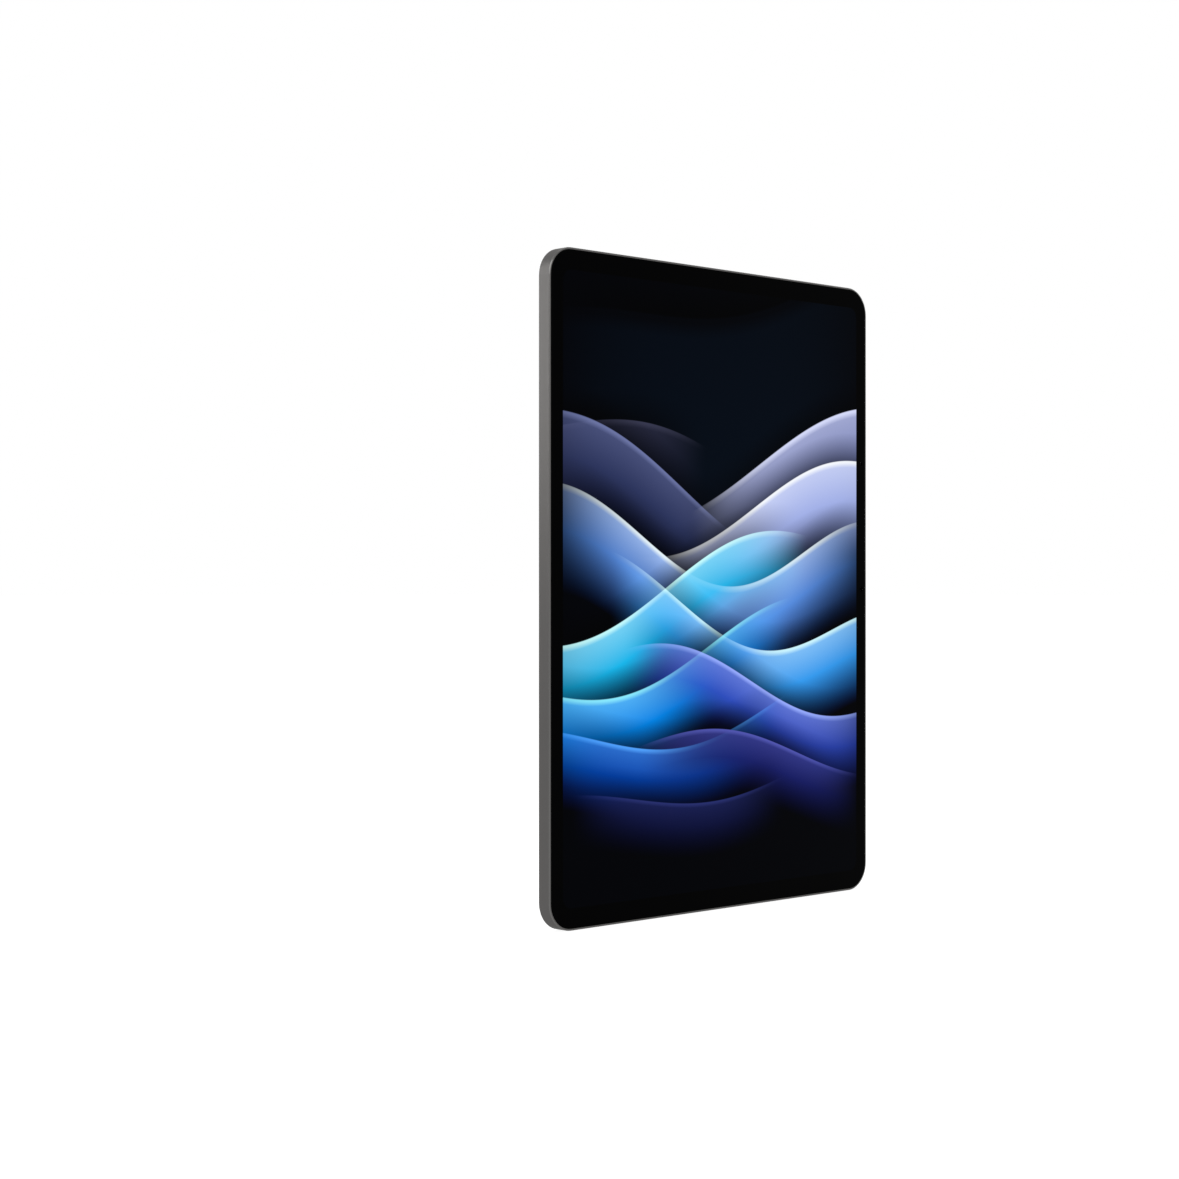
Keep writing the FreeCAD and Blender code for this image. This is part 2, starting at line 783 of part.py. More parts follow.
def button_cap(axis, centre, length, wall, outside):
    """Round-ended key through a wall, chamfered outside, down to the back of its lip."""
    depth = (wall - lip_inner, outside + button_proud)
    along = span(centre, length)
    across = span(y_edge, button_width)
    u, v = (across, along) if axis == "x" else (along, across)
    cap = prism(axis, u, v, depth, button_width / 2)
    return cap.makeChamfer(button_chamfer, edges_across(cap, axis, depth[1]))


def volume_rocker():
    """Long key that rocks on the round rib behind its middle and presses one of two domes."""
    cap = button_cap("x", rocker_z, rocker_length, cavity_half, half)
    lip_y = span(y_edge, slot_width + 2 * button_lip)
    lip_x = (cavity_half - lip_inner, cavity_half - lip_outer)
    lip = prism("x", lip_y, span(rocker_z, rocker_lip_length), lip_x)
    axle = rod("y", rocker_pivot_x(), rocker_z, span(y_edge, button_width), pivot_radius)
    web_x = (rocker_pivot_x(), cavity_half - lip_inner)
    web = prism("x", span(y_edge, button_width), span(rocker_z, 2 * pivot_radius), web_x)
    post_x = (cavity_half - post_tip, cavity_half - lip_inner)
    posts = [prism("x", span(y_edge, post_size), span(z, post_size), post_x) for z in rocker_post_zs()]
    return cap.fuse([lip, axle, web] + posts)


def rocker_pivot_x():
    """X of the line that the rocker turns about: the middle of its rib."""
    return cavity_half - film_front + pivot_gap + pivot_radius


def rocker_post_zs():
    """Heights of the rocker's posts and of the domes behind them."""
    return rocker_z - rocker_post_offset, rocker_z + rocker_post_offset


def volume_snap_domes():
    """Two metal snap domes under the rocker's posts."""
    return [snap_dome("x", y_edge, z, cavity_half - film_front) for z in rocker_post_zs()]


def volume_film():
    """Flexible circuit under the volume domes."""
    x = (cavity_half - film_rear, cavity_half - film_front)
    return prism("x", span(y_edge, bracket_width), span(rocker_z, rocker_length), x)


def button_bracket(axis, centre, length, wall):
    """Steel strip behind a key, with a foot at each end against the inside of the wall."""
    near = length / 2 + bracket_foot_gap
    far = near + bracket_foot
    across = span(y_edge, bracket_width)
    layers = [((-far, far), (wall - bracket_rear, wall - film_rear)),
              ((-far, -near), (wall - film_rear, wall)),
              ((near, far), (wall - film_rear, wall))]
    solids = []
    for (low, high), depth in layers:
        along = (centre + low, centre + high)
        u, v = (across, along) if axis == "x" else (along, across)
        solids.append(prism(axis, u, v, depth))
    return solids[0].fuse(solids[1:])


def power_button():
    """Short key that slides straight in and presses one dome."""
    cap = button_cap("z", power_x, power_length, cavity_high, height)
    lip_z = (cavity_high - lip_inner, cavity_high - lip_outer)
    lip = prism("z", span(power_x, power_length + 2 * button_lip), span(y_edge, slot_width), lip_z)
    post_z = (cavity_high - post_tip, cavity_high - lip_inner)
    return cap.fuse([lip, prism("z", span(power_x, post_size), span(y_edge, post_size), post_z)])


def power_snap_dome():
    """Metal snap dome under the power button."""
    return snap_dome("z", power_x, y_edge, cavity_high - film_front)


def power_film():
    """Flexible circuit under the power button's dome."""
    z = (cavity_high - film_rear, cavity_high - film_front)
    return prism("z", span(power_x, power_length), span(y_edge, bracket_width), z)


# ---- USB-C socket ----

def usb_shell():
    """Drawn steel shell of the socket, open at the mouth."""
    outer = prism("z", usb_shell_x, usb_shell_y, usb_shell_z, usb_mouth_height / 2 + usb_wall)
    mouth_z = (usb_shell_z[0] - 1, usb_shell_z[1] - usb_back)
    mouth_x = span(0, usb_mouth_width)
    return outer.cut(prism("z", mouth_x, usb_mouth_y, mouth_z, usb_mouth_height / 2))


def usb_tongue():
    """Contact tongue in the middle of the socket."""
    z = (usb_shell_z[0] + tongue_recess, usb_shell_z[1] - usb_back)
    tongue = prism("z", span(0, tongue_width), span(y_edge, tongue_thickness), z)
    edges = edges_across(tongue, "z", z[0])
    return tongue.makeChamfer(tongue_thickness / 4, edges)


def usb_bracket():
    """Steel strap over the socket, folded down to an ear on each side that rests on a pad."""
    strap_y = (usb_shell_y[0] - fit_gap - usb_bracket_sheet, usb_shell_y[0] - fit_gap)
    inner = usb_shell_x[1] + fit_gap
    outer = inner + usb_bracket_sheet
    strap = prism("y", (-outer, outer), usb_ear_z, strap_y)
    folds = []
    for side in (-1, 1):
        x = tuple(sorted((side * inner, side * outer)))
        folds.append(prism("y", x, usb_ear_z, (strap_y[0], y_edge)))
        x = tuple(sorted((side * inner, side * (usb_ear_x + usb_bracket_ear / 2))))
        folds.append(prism("y", x, usb_ear_z, (y_edge - usb_bracket_sheet, y_edge)))
    return strap.fuse(folds)


def usb_board():
    """Small circuit board behind the socket."""
    z = (usb_board_low, usb_board_high)
    return prism("y", (-usb_board_half, usb_board_half), z, (y_board, y_board_back))


# ---- Loudspeakers ----


def speakers():
    """Four flat loudspeaker boxes, each with its sunk diaphragm and a spout to the edge."""
    boxes = []
    for centre, wall, way in speaker_places():
        z = inward(wall, way, gasket_far, gasket_far + speaker_height)
        box = prism("y", span(centre, speaker_width), z, (y_free, y_floor))
        well_y = (y_free, y_free + speaker_cone_depth)
        well = prism("y", span(centre, speaker_cone_width), span(sum(z) / 2, speaker_cone_height), well_y)
        spout_z = inward(wall, way, gasket_far - 1, gasket_far + spout_depth)
        spout = prism("z", span(centre, grille_length), span(y_edge, speaker_hole_width), spout_z)
        boxes.append(box.cut([well, spout]))
    return boxes


def speaker_meshes():
    """Fine dust mesh behind each row of speaker holes."""
    x_size = grille_length + 2 * mesh_margin
    y_size = speaker_hole_width + mesh_margin
    return [prism("z", span(x, x_size), span(y_edge, y_size), inward(wall, way, 0, mesh_thickness))
            for x, wall, way in speaker_places()]


def speaker_gaskets():
    """Foam frame between each mesh and its loudspeaker."""
    x_size = grille_length + 2 * mesh_margin
    y_size = speaker_hole_width + mesh_margin
    frames = []
    for x, wall, way in speaker_places():
        z = inward(wall, way, mesh_thickness, gasket_far)
        frames.append(hollow("z", span(x, x_size), span(y_edge, y_size), z, speaker_gasket_band))
    return frames


# ---- Main board and what is on it ----

def main_board():
    """T-shaped circuit board, with its neck between the upper loudspeakers."""
    y = (y_board, y_board_back)
    wide = prism("y", (board_left, board_right), (board_bottom, board_top), y)
    neck = prism("y", (-board_neck, board_neck), (board_bottom + screw_inset, board_neck_top), y)
    through = (y_board - 1, y_board_back + 1)
    holes = [rod("y", x, z, through, board_hole_radius) for x, z in board_screw_places()]
    return wide.fuse(neck).removeSplitter().cut(holes)


def can_places():
    """(low, high) X of the two shield cans, side by side on the board."""
    middle = (board_left + board_right) / 2
    return [(middle - can_gap / 2 - can_width, middle - can_gap / 2),
            (middle + can_gap / 2, middle + can_gap / 2 + can_width)]


can_z = span((board_bottom + board_top) / 2, can_height)


def shield_cans():
    """Two shallow drawn steel lids over the chips, open towards the board."""
    cans = []
    for x in can_places():
        inner_x = (x[0] + can_sheet, x[1] - can_sheet)
        inner_z = (can_z[0] + can_sheet, can_z[1] - can_sheet)
        can = prism("y", x, can_z, (y_can, y_board))
        cans.append(can.cut(prism("y", inner_x, inner_z, (y_can + can_sheet, y_board))))
    return cans


def chips():
    """Processor, memory and power chips on the board, two under each can."""
    middle_z = sum(can_z) / 2
    y = (y_can + can_sheet + chip_clearance, y_board)
    solids = []
    for x in can_places():
        quarter = (x[1] - x[0]) / 4
        for centre, size in ((x[0] + quarter, chip_size), (x[1] - quarter, small_chip_size)):
            solids.append(prism("y", span(centre, size), span(middle_z, size), y))
    return solids


def graphite_sheet():
    """Thin heat spreader laid over both shield cans."""
    first, second = can_places()
    return prism("y", (first[0], second[1]), can_z, (y_can - graphite_thickness, y_can))


def hall_sensor():
    """Small magnetic sensor on the board's neck, for a closing cover."""
    z = span(board_neck_top - hall_drop, hall_size)
    return prism("y", span(0, hall_size), z, (y_board - hall_thickness, y_board))


def board_screws():
    """Pan-head screws through the main board's corners into the housing."""
    screws = []
    for x, z in board_screw_places():
        head = rod("y", x, z, (y_board - screw_head_height, y_board), screw_head_radius)
        shank = rod("y", x, z, (y_board, y_back - screw_floor - fit_gap), screw_radius)
        screws.append(head.fuse(shank))
    return screws


# ---- Battery ----

def battery_cell():
    """Flat pouch cell, the one on the +X side."""
    return prism("y", cell_x, cell_z, cell_y)


def battery_tapes():
    """Two strips of stretch-release tape under each cell."""
    tapes = []
    for side in (-1, 1):
        for edge, way in zip(cell_x, (1, -1)):
            x = span(side * (edge + way * (tape_inset + tape_width / 2)), tape_width)
            z = (cell_z[0] + tape_inset, cell_z[1] - tape_inset)
            tapes.append(prism("y", x, z, (cell_y[1], y_floor)))
    return tapes


def battery_board():
    """Protection circuit board across the top of both cells."""
    low = cell_z[1] + battery_board_gap / 2
    y = (y_floor - film - battery_board_thickness, y_floor - film)
    return prism("y", (-cell_x[1], cell_x[1]), (low, low + battery_board_height), y)


def link_cable():
    """Flat cable on the back wall from the small board to the main board."""
    x = span(0, cable_width)
    start = usb_board_high - connector_length
    end = board_bottom + connector_length
    flat = prism("y", x, (start, end), (y_floor - film, y_floor))
    low = prism("y", x, (start, usb_board_high), (y_board_back, y_floor - film))
    high = prism("y", x, (board_bottom, end), (y_board_back, y_floor - film))
    return flat.fuse([low, high])


# ---- Stylus charging ----

def stylus_window():
    """Dark plastic inlay, flush with the edge, that the stylus charges through."""
    z = span(stylus_window_z, stylus_window_length)
    return prism("x", stylus_window_y, z, (half - stylus_window_depth, half), stylus_window_width / 2)


def charging_coil():
    """Flat wound coil on its ferrite, behind the window's lip."""
    high = cavity_half - coil_gap
    y = span(y_edge, stylus_window_width)
    z = span(stylus_window_z, stylus_window_length)
    ferrite = prism("x", y, z, (high - coil_thickness, high - coil_winding))
    return ferrite.fuse(hollow("x", y, z, (high - coil_winding, high), coil_band))


def edge_magnets(side, centres):
    """Bar magnets against the inside of a long wall: side 1 for +X, -1 for -X."""
    x = tuple(sorted((side * cavity_half, side * (cavity_half - magnet_thickness))))
    y = (y_floor - magnet_width, y_floor)
    return [prism("y", x, span(z, magnet_length), y) for z in centres]


def stylus_magnet_zs():
    """Heights of the magnets above and below the charging window."""
    offset = (stylus_window_length + magnet_length) / 2 + magnet_gap
    return stylus_window_z - offset, stylus_window_z + offset


def keyboard_magnet_zs():
    """Heights of the keyboard magnets: a pair about the middle, and one beside each aerial."""
    outer = aerial_inset_z + (aerial_length + magnet_length) / 2 + keyboard_magnet_gap
    return outer, mid_z - keyboard_magnet_offset, mid_z + keyboard_magnet_offset, height - outer


# ---- Keyboard contacts, microphones and aerials ----

def contact_pad(z, y, gap=0.0):
    """Shape of one keyboard contact, with a gap round it."""
    return prism("y", span(contact_x, contact_width + 2 * gap), span(z, contact_length + 2 * gap), y)


def keyboard_contacts():
    """Gold-plated pads, just below the back face."""
    return [contact_pad(z, (y_floor, y_back - contact_sink)) for z in contact_zs()]


def contact_base():
    """Plastic block inside the back wall that carries the pads."""
    length = contact_pitch * (contact_count - 1) + contact_length + 2 * contact_base_margin
    y = (y_floor - contact_base_thickness, y_floor)
    return prism("y", span(contact_x, contact_base_width), span(mid_z, length), y)


def microphones():
    """Two small microphones facing the edge, each behind its hole."""
    near = cavity_half - mic_gasket
    return [prism("x", span(y_edge, mic_width), span(z, mic_length), (near - mic_thickness, near))
            for z in mic_heights]


def mic_gaskets():
    """Square foam frame between each microphone and the wall."""
    x = (cavity_half - mic_gasket, cavity_half)
    band = (mic_gasket_length - 2 * mic_hole_radius) / 2
    return [hollow("x", span(y_edge, mic_gasket_length), span(z, mic_gasket_length), x, band)
            for z in mic_heights]


def aerials():
    """Radio aerials on plastic carriers against the inside of the -X wall."""
    x = (-cavity_half, -cavity_half + aerial_thickness)
    y = (y_floor - aerial_width, y_floor)
    centres = (aerial_inset_z, height - aerial_inset_z)
    return [prism("y", x, span(z, aerial_length), y) for z in centres]


# ---- Write the nodes ----

os.makedirs("parts", exist_ok=True)
save("rear_housing", rear_housing())
save("cover_glass", cover_glass())
save("glass_gasket", glass_gasket())
save("lcd_panel", lcd_panel())
save("backlight_unit", backlight_unit())
save("display_tray", display_tray())
save("display_films", *display_films())
save("display_driver_board", display_driver_board())
save("display_cable", display_cable())
save("rear_camera_ring", rear_camera_ring())
save("rear_camera_plate", rear_camera_plate())
save("camera_lens_bezel", camera_lens_bezel())
save("camera_window", camera_window())
save("rear_camera_housing", rear_camera_housing())
save("rear_lens_barrel", rear_lens_barrel())
save("image_sensor_board", image_sensor_board())
save("camera_cable", camera_cable())
save("flash_bezel", flash_bezel())
save("flash_window", flash_window())
save("flash_led", flash_led())
save("flash_board", flash_board())
save("front_camera_module", front_camera_module())
save("front_camera_lens", front_camera_lens())
save("light_sensor", light_sensor())
save("volume_rocker", volume_rocker())
save("volume_snap_domes", *volume_snap_domes())
save("volume_film", volume_film())
save("volume_bracket", button_bracket("x", rocker_z, rocker_length, cavity_half))
save("power_button", power_button())
save("power_snap_dome", power_snap_dome())
save("power_film", power_film())
save("power_bracket", button_bracket("z", power_x, power_length, cavity_high))
save("usb_shell", usb_shell())
save("usb_tongue", usb_tongue())
save("usb_bracket", usb_bracket())
save("usb_board", usb_board())
save("speakers", *speakers())
save("speaker_meshes", *speaker_meshes())
save("speaker_gaskets", *speaker_gaskets())
save("main_board", main_board())
save("shield_cans", *shield_cans())
save("chips", *chips())
save("graphite_sheet", graphite_sheet())
save("hall_sensor", hall_sensor())
save("board_screws", *board_screws())
save("battery_cell_right", battery_cell())
save("battery_cell_left", mirrored(battery_cell()))
save("battery_tapes", *battery_tapes())
save("battery_board", battery_board())
save("link_cable", link_cable())
save("stylus_window", stylus_window())
save("charging_coil", charging_coil())
save("stylus_magnets", *edge_magnets(1, stylus_magnet_zs()))
save("keyboard_contacts", *keyboard_contacts())
save("contact_base", contact_base())
save("keyboard_magnets", *edge_magnets(-1, keyboard_magnet_zs()))
save("microphones", *microphones())
save("mic_gaskets", *mic_gaskets())
save("aerials", *aerials())
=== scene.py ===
import math

import bpy
import numpy as np
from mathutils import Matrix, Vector


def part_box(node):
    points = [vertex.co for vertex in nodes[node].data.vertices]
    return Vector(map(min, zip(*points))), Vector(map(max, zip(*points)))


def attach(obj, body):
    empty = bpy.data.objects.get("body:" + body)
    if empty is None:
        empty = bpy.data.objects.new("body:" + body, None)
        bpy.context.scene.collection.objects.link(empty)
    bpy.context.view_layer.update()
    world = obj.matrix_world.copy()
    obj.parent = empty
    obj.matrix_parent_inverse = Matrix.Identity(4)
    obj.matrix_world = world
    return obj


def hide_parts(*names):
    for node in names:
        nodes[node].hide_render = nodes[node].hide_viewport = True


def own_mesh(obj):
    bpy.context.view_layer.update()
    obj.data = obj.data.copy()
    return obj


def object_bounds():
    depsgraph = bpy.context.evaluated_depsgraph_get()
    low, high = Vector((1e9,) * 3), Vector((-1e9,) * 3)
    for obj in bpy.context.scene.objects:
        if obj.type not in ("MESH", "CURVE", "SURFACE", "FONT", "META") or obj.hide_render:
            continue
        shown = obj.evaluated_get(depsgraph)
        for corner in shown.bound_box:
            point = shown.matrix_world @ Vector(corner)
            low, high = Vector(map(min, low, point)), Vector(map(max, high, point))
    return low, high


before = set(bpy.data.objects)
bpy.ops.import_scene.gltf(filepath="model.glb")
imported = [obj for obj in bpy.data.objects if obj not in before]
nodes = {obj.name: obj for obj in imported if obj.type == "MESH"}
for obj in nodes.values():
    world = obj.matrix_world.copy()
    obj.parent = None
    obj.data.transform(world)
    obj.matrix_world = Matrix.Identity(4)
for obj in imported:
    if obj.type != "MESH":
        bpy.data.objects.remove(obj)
cad_box = [list(corner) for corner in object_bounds()]
mm = 0.001


# ---- Housing and keys ----
# One block of aluminium, milled to a thin tray, bead-blasted and anodised in a warm grey. Both
# edges of its side wall are cut bright after the blasting. The two keys are made the same way.

class Finish:
    """A procedural material in the making: its node tree, and calls that add nodes to it."""

    def __init__(self, name, **sockets):
        self.material = bpy.data.materials.new(name)
        self.material.use_nodes = True
        self.tree = self.material.node_tree
        self.shader = self.tree.nodes["Principled BSDF"]
        self.place = self.add("TexCoord", out="Object")
        self.set(**sockets)

    def wire(self, value, socket):
        """Puts a constant on a socket, or links another node's output to it."""
        if isinstance(value, bpy.types.NodeSocket):
            self.tree.links.new(value, socket)
        elif socket.type == "RGBA":
            socket.default_value = (*value[:3], 1)
        else:
            socket.default_value = value

    def set(self, **sockets):
        """Fills the shader's sockets; base_color stands for Base Color, and so on."""
        for key, value in sockets.items():
            words = [{"ior": "IOR"}.get(word, word.capitalize()) for word in key.split("_")]
            self.wire(value, self.shader.inputs[" ".join(words)])

    def add(self, kind, inputs=None, out=0, **settings):
        """Adds one shader node and returns one of its outputs."""
        made = self.tree.nodes.new("ShaderNode" + kind)
        for key, value in settings.items():
            setattr(made, key, value)
        for key, value in (inputs or {}).items():
            self.wire(value, made.inputs[key])
        return made.outputs[out]

    def calc(self, operation, *values):
        """The result of one step of arithmetic on numbers."""
        return self.add("Math", dict(enumerate(values)), operation=operation)

    def axis(self, letter):
        """The place's X, Y or Z, in metres."""
        return self.add("SeparateXYZ", {0: self.place}, out=letter)

    def noise(self, size, detail=2.0, place=None):
        """Cloudy pattern from 0 to 1, whose spots are about the given size in metres."""
        inputs = {"Vector": place or self.place, "Scale": 1 / size, "Detail": detail}
        return self.add("TexNoise", inputs)

    def cells(self, pitch, randomness=1.0):
        """The distance to the nearest of many points that lie about the pitch apart, over the
        pitch."""
        inputs = {"Vector": self.place, "Scale": 1 / pitch, "Randomness": randomness}
        return self.add("TexVoronoi", inputs)

    def stretched(self, x, y, z):
        """The place with each direction squeezed by its own number, which draws a pattern out."""
        return self.add("Mapping", {"Vector": self.place, "Scale": (1 / x, 1 / y, 1 / z)})

    def stripes(self, pitch, letter):
        """Even stripes across the X, Y or Z direction: half a sine plus a half, from 0 to 1."""
        turn = self.calc("MULTIPLY", self.axis(letter), 2 * math.pi / pitch)
        return self.calc("MULTIPLY_ADD", self.calc("SINE", turn), 0.5, 0.5)

    def lattice(self, pitch, letters, operation):
        """Stripes across two directions, multiplied or the larger of the two."""
        return self.calc(operation, *[self.stripes(pitch, letter) for letter in letters])

    def step(self, value, low, high, to_low=0.0, to_high=1.0):
        """to_low where the value is at low, to_high where it is at high, and straight between."""
        inputs = {"Value": value, "From Min": low, "From Max": high,
                  "To Min": to_low, "To Max": to_high}
        return self.add("MapRange", inputs)

    def mix(self, factor, first, second):
        """Colour between two colours."""
        return self.add("Mix", {0: factor, 6: first, 7: second}, out=2, data_type="RGBA")

    def mottle(self, colour, size, amount):
        """The colour, lighter and darker by up to the given share in spots of that size."""
        shade = self.step(self.noise(size), 0.0, 1.0, 1 - amount, 1 + amount)
        return self.add("VectorMath", {0: colour, "Scale": shade}, operation="SCALE")

    def bump(self, height, depth):
        """Small relief: a pattern from 0 to 1 raised by the depth in metres."""
        self.set(normal=self.add("Bump", {"Height": height, "Distance": depth, "Strength": 1.0}))

    def two_tone(self, pattern, first, second):
        """Base colour that runs from the first to the second with a pattern from 0 to 1."""
        self.set(base_color=self.mix(pattern, first, second))

    def grained(self, colour, size, amount, pit, depth):
        """Mottled base colour over a relief of small pits."""
        self.set(base_color=self.mottle(colour, size, amount))
        self.bump(self.noise(pit), depth)

    def put_on(self, *names):
        """Gives the material to CAD nodes."""
        for name in names:
            mesh = nodes[name].data
            mesh.materials.clear()
            mesh.materials.append(self.material)


def middle(name):
    """Centre of a CAD node's box."""
    low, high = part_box(name)
    return (low + high) / 2


pit_size = 0.16 * mm
pit_depth = 2.5e-6
dye_unevenness = 0.025
flat_angle_tint = (0.6, 0.6, 0.6)


def anodised(name, colour, roughness):
    """Bead-blasted metal with fine even pits and a faint mottle of the dye. The dyed layer dims
    the mirror that bare metal shows at a flat angle."""
    finish = Finish(name, metallic=1.0, roughness=roughness, specular_tint=flat_angle_tint)
    finish.grained(colour, 6 * mm, dye_unevenness, pit_size, pit_depth)
    return finish


warm_grey = (0.104, 0.1005, 0.0985)
cut_grey = (0.13, 0.127, 0.124)
satin = 0.47
polished = 0.22
key_polish = 0.27
slope = math.sqrt(0.5)

housing_finish = anodised("anodised_aluminium", warm_grey, satin)
facing = housing_finish.add("TexCoord", out="Normal")
sideways = housing_finish.add("SeparateXYZ", {0: facing}, out="Y")
sideways = housing_finish.calc("ABSOLUTE", sideways)
off_slope = housing_finish.calc("ABSOLUTE", housing_finish.calc("SUBTRACT", sideways, slope))
bright_cut = housing_finish.step(off_slope, 0.25, 0.1)
dye = housing_finish.mottle(warm_grey, 9 * mm, dye_unevenness)
housing_finish.set(base_color=housing_finish.mix(bright_cut, dye, cut_grey),
                   roughness=housing_finish.step(bright_cut, 0.0, 1.0, satin, polished))
housing_finish.put_on("rear_housing")

key_finish = anodised("key_aluminium", warm_grey, key_polish)
key_finish.put_on("volume_rocker", "power_button")


# ---- Display behind the glass ----
# A liquid-crystal panel of two glass sheets, on a light unit of clear plate and white films, in a
# tray of bright rolled sheet. Amber flexible circuits fold round its lower edge to their board.

pixel_pitch = 0.3 * mm
panel_finish = Finish("lcd_glass", roughness=0.08)
pixel_lines = panel_finish.lattice(pixel_pitch, "XZ", "MULTIPLY")
panel_finish.two_tone(pixel_lines, (0.008, 0.010, 0.018), (0.020, 0.026, 0.050))
panel_finish.put_on("lcd_panel")

dot_pitch = 1.1 * mm
dot_depth = 4e-6
light_finish = Finish("light_guide", roughness=0.45, specular_ior_level=0.3)
dots = light_finish.cells(dot_pitch, 0.15)
between_dots = light_finish.step(dots, 0.2, 0.3)
light_finish.two_tone(between_dots, (0.62, 0.64, 0.68), (0.86, 0.88, 0.9))
light_finish.bump(dots, dot_depth)
light_finish.put_on("backlight_unit")

rolling_line = 0.2 * mm
rolling_depth = 1.5e-6


def sheet_metal(name, colour, roughness, along):
    """Rolled or drawn sheet with fine lines; along gives how far they reach in X, Y and Z."""
    finish = Finish(name, metallic=1.0, roughness=roughness)
    lines = finish.noise(rolling_line, 3.0, finish.stretched(*along))
    finish.two_tone(lines, tuple(0.88 * c for c in colour), colour)
    finish.bump(lines, rolling_depth)
    return finish


tray_finish = sheet_metal("tray_metal", (0.62, 0.62, 0.63), 0.3, (1, 1, 30))
tray_finish.put_on("display_tray")

track_pitch = 0.5 * mm
track_height = 8e-6
film_finish = Finish("film_amber", roughness=0.35)
film_tracks = film_finish.lattice(track_pitch, "XY", "MAXIMUM")
film_finish.two_tone(film_finish.step(film_tracks, 0.35, 0.65), (0.30, 0.11, 0.02),
                     (0.42, 0.20, 0.05))
film_finish.bump(film_tracks, track_height)
film_finish.put_on("display_films", "display_cable", "camera_cable", "volume_film", "power_film",
                   "link_cable", "aerials")


# ---- Circuit boards and battery ----
# Green solder mask over copper tracks, drawn steel lids over the chips and a graphite sheet over
# those. The two pouch cells lie in dark wrapped foil on strips of white stretch-release tape.

upright = (math.pi / 2, 0.0, 0.0)
via_pitch = 3.0 * mm
copper_height = 1.2e-5
board_finish = Finish("board_green", roughness=0.38)
board_plane = board_finish.add("Mapping", {"Vector": board_finish.place, "Rotation": upright})
copper = board_finish.add("TexBrick", {
    "Vector": board_plane, "Scale": 1.0, "Brick Width": 2.6 * mm, "Row Height": 0.7 * mm,
    "Mortar Size": 0.12 * mm, "Mortar Smooth": 0.2}, out="Fac")
at_via = board_finish.step(board_finish.cells(via_pitch), 0.10, 0.08)
mask = board_finish.mix(copper, (0.006, 0.050, 0.022), (0.014, 0.105, 0.045))
board_finish.two_tone(at_via, mask, (0.55, 0.45, 0.22))
board_finish.bump(copper, copper_height)
board_finish.put_on("main_board", "usb_board", "battery_board", "display_driver_board",
                    "image_sensor_board", "flash_board")

steel_finish = sheet_metal("steel", (0.52, 0.52, 0.53), 0.26, (12, 1, 12))
steel_finish.put_on("shield_cans", "board_screws", "volume_bracket", "power_bracket",
                    "usb_bracket")

chip_finish = Finish("chip_black", roughness=0.6)
chip_finish.grained((0.02, 0.02, 0.022), 1.5 * mm, 0.2, 0.08 * mm, 4e-6)
chip_finish.put_on("chips", "hall_sensor")

graphite_finish = Finish("graphite", roughness=0.42, metallic=0.5)
flakes = graphite_finish.noise(0.35 * mm, 4.0)
graphite_finish.two_tone(flakes, (0.03, 0.03, 0.035), (0.10, 0.10, 0.11))
graphite_finish.bump(flakes, 5e-6)
graphite_finish.put_on("graphite_sheet")

foil_finish = Finish("cell_foil", metallic=0.6, roughness=0.38)
wrinkles = foil_finish.noise(7 * mm, 4.0)
foil_finish.two_tone(wrinkles, (0.028, 0.028, 0.032), (0.055, 0.055, 0.06))
foil_finish.bump(wrinkles, 1.2e-4)
foil_finish.put_on("battery_cell_right", "battery_cell_left")

tape_finish = Finish("tape_white", roughness=0.7)
weave = tape_finish.lattice(0.6 * mm, "XZ", "MULTIPLY")
tape_finish.two_tone(weave, (0.62, 0.62, 0.60), (0.76, 0.76, 0.74))
tape_finish.bump(weave, 1e-5)
tape_finish.put_on("battery_tapes")


# ---- Parts along the edges ----
# Sintered magnets plated with nickel, the stylus's charging coil behind its dark plastic window,
# foam gaskets, woven steel over the loudspeakers, and gold-plated contacts.

magnet_finish = Finish("magnet_nickel", metallic=1.0, roughness=0.3)
magnet_finish.grained((0.50, 0.49, 0.46), 1.5 * mm, 0.08, 0.3 * mm, 3e-6)
magnet_finish.put_on("stylus_magnets", "keyboard_magnets")

wire_pitch = 0.16 * mm
coil_finish = Finish("coil_copper", metallic=1.0, roughness=0.3)
windings = coil_finish.stripes(wire_pitch, "Y")
coil_finish.two_tone(windings, (0.22, 0.08, 0.03), (0.62, 0.28, 0.13))
coil_finish.bump(windings, 3e-5)
coil_finish.put_on("charging_coil")

inlay_finish = Finish("inlay_plastic", roughness=0.42)
inlay_finish.grained((0.035, 0.034, 0.034), 2 * mm, 0.08, 0.12 * mm, 4e-6)
inlay_finish.put_on("stylus_window", "contact_base")

foam_finish = Finish("foam_black", roughness=0.95, specular_ior_level=0.2)
pores = foam_finish.cells(0.18 * mm)
foam_finish.two_tone(pores, (0.004, 0.004, 0.004), (0.022, 0.022, 0.022))
foam_finish.bump(pores, 6e-5)
foam_finish.put_on("glass_gasket", "mic_gaskets", "speaker_gaskets")

module_finish = Finish("module_black", roughness=0.5)
module_finish.grained((0.018, 0.018, 0.019), 1 * mm, 0.15, 0.1 * mm, 5e-6)
module_finish.put_on("speakers", "microphones", "front_camera_module", "light_sensor",
                     "rear_camera_housing", "rear_lens_barrel")

gold_finish = Finish("gold_plate", metallic=1.0, roughness=0.3)
gold_finish.grained((0.62, 0.47, 0.24), 1 * mm, 0.05, 0.15 * mm, 1.5e-6)
gold_finish.put_on("keyboard_contacts")

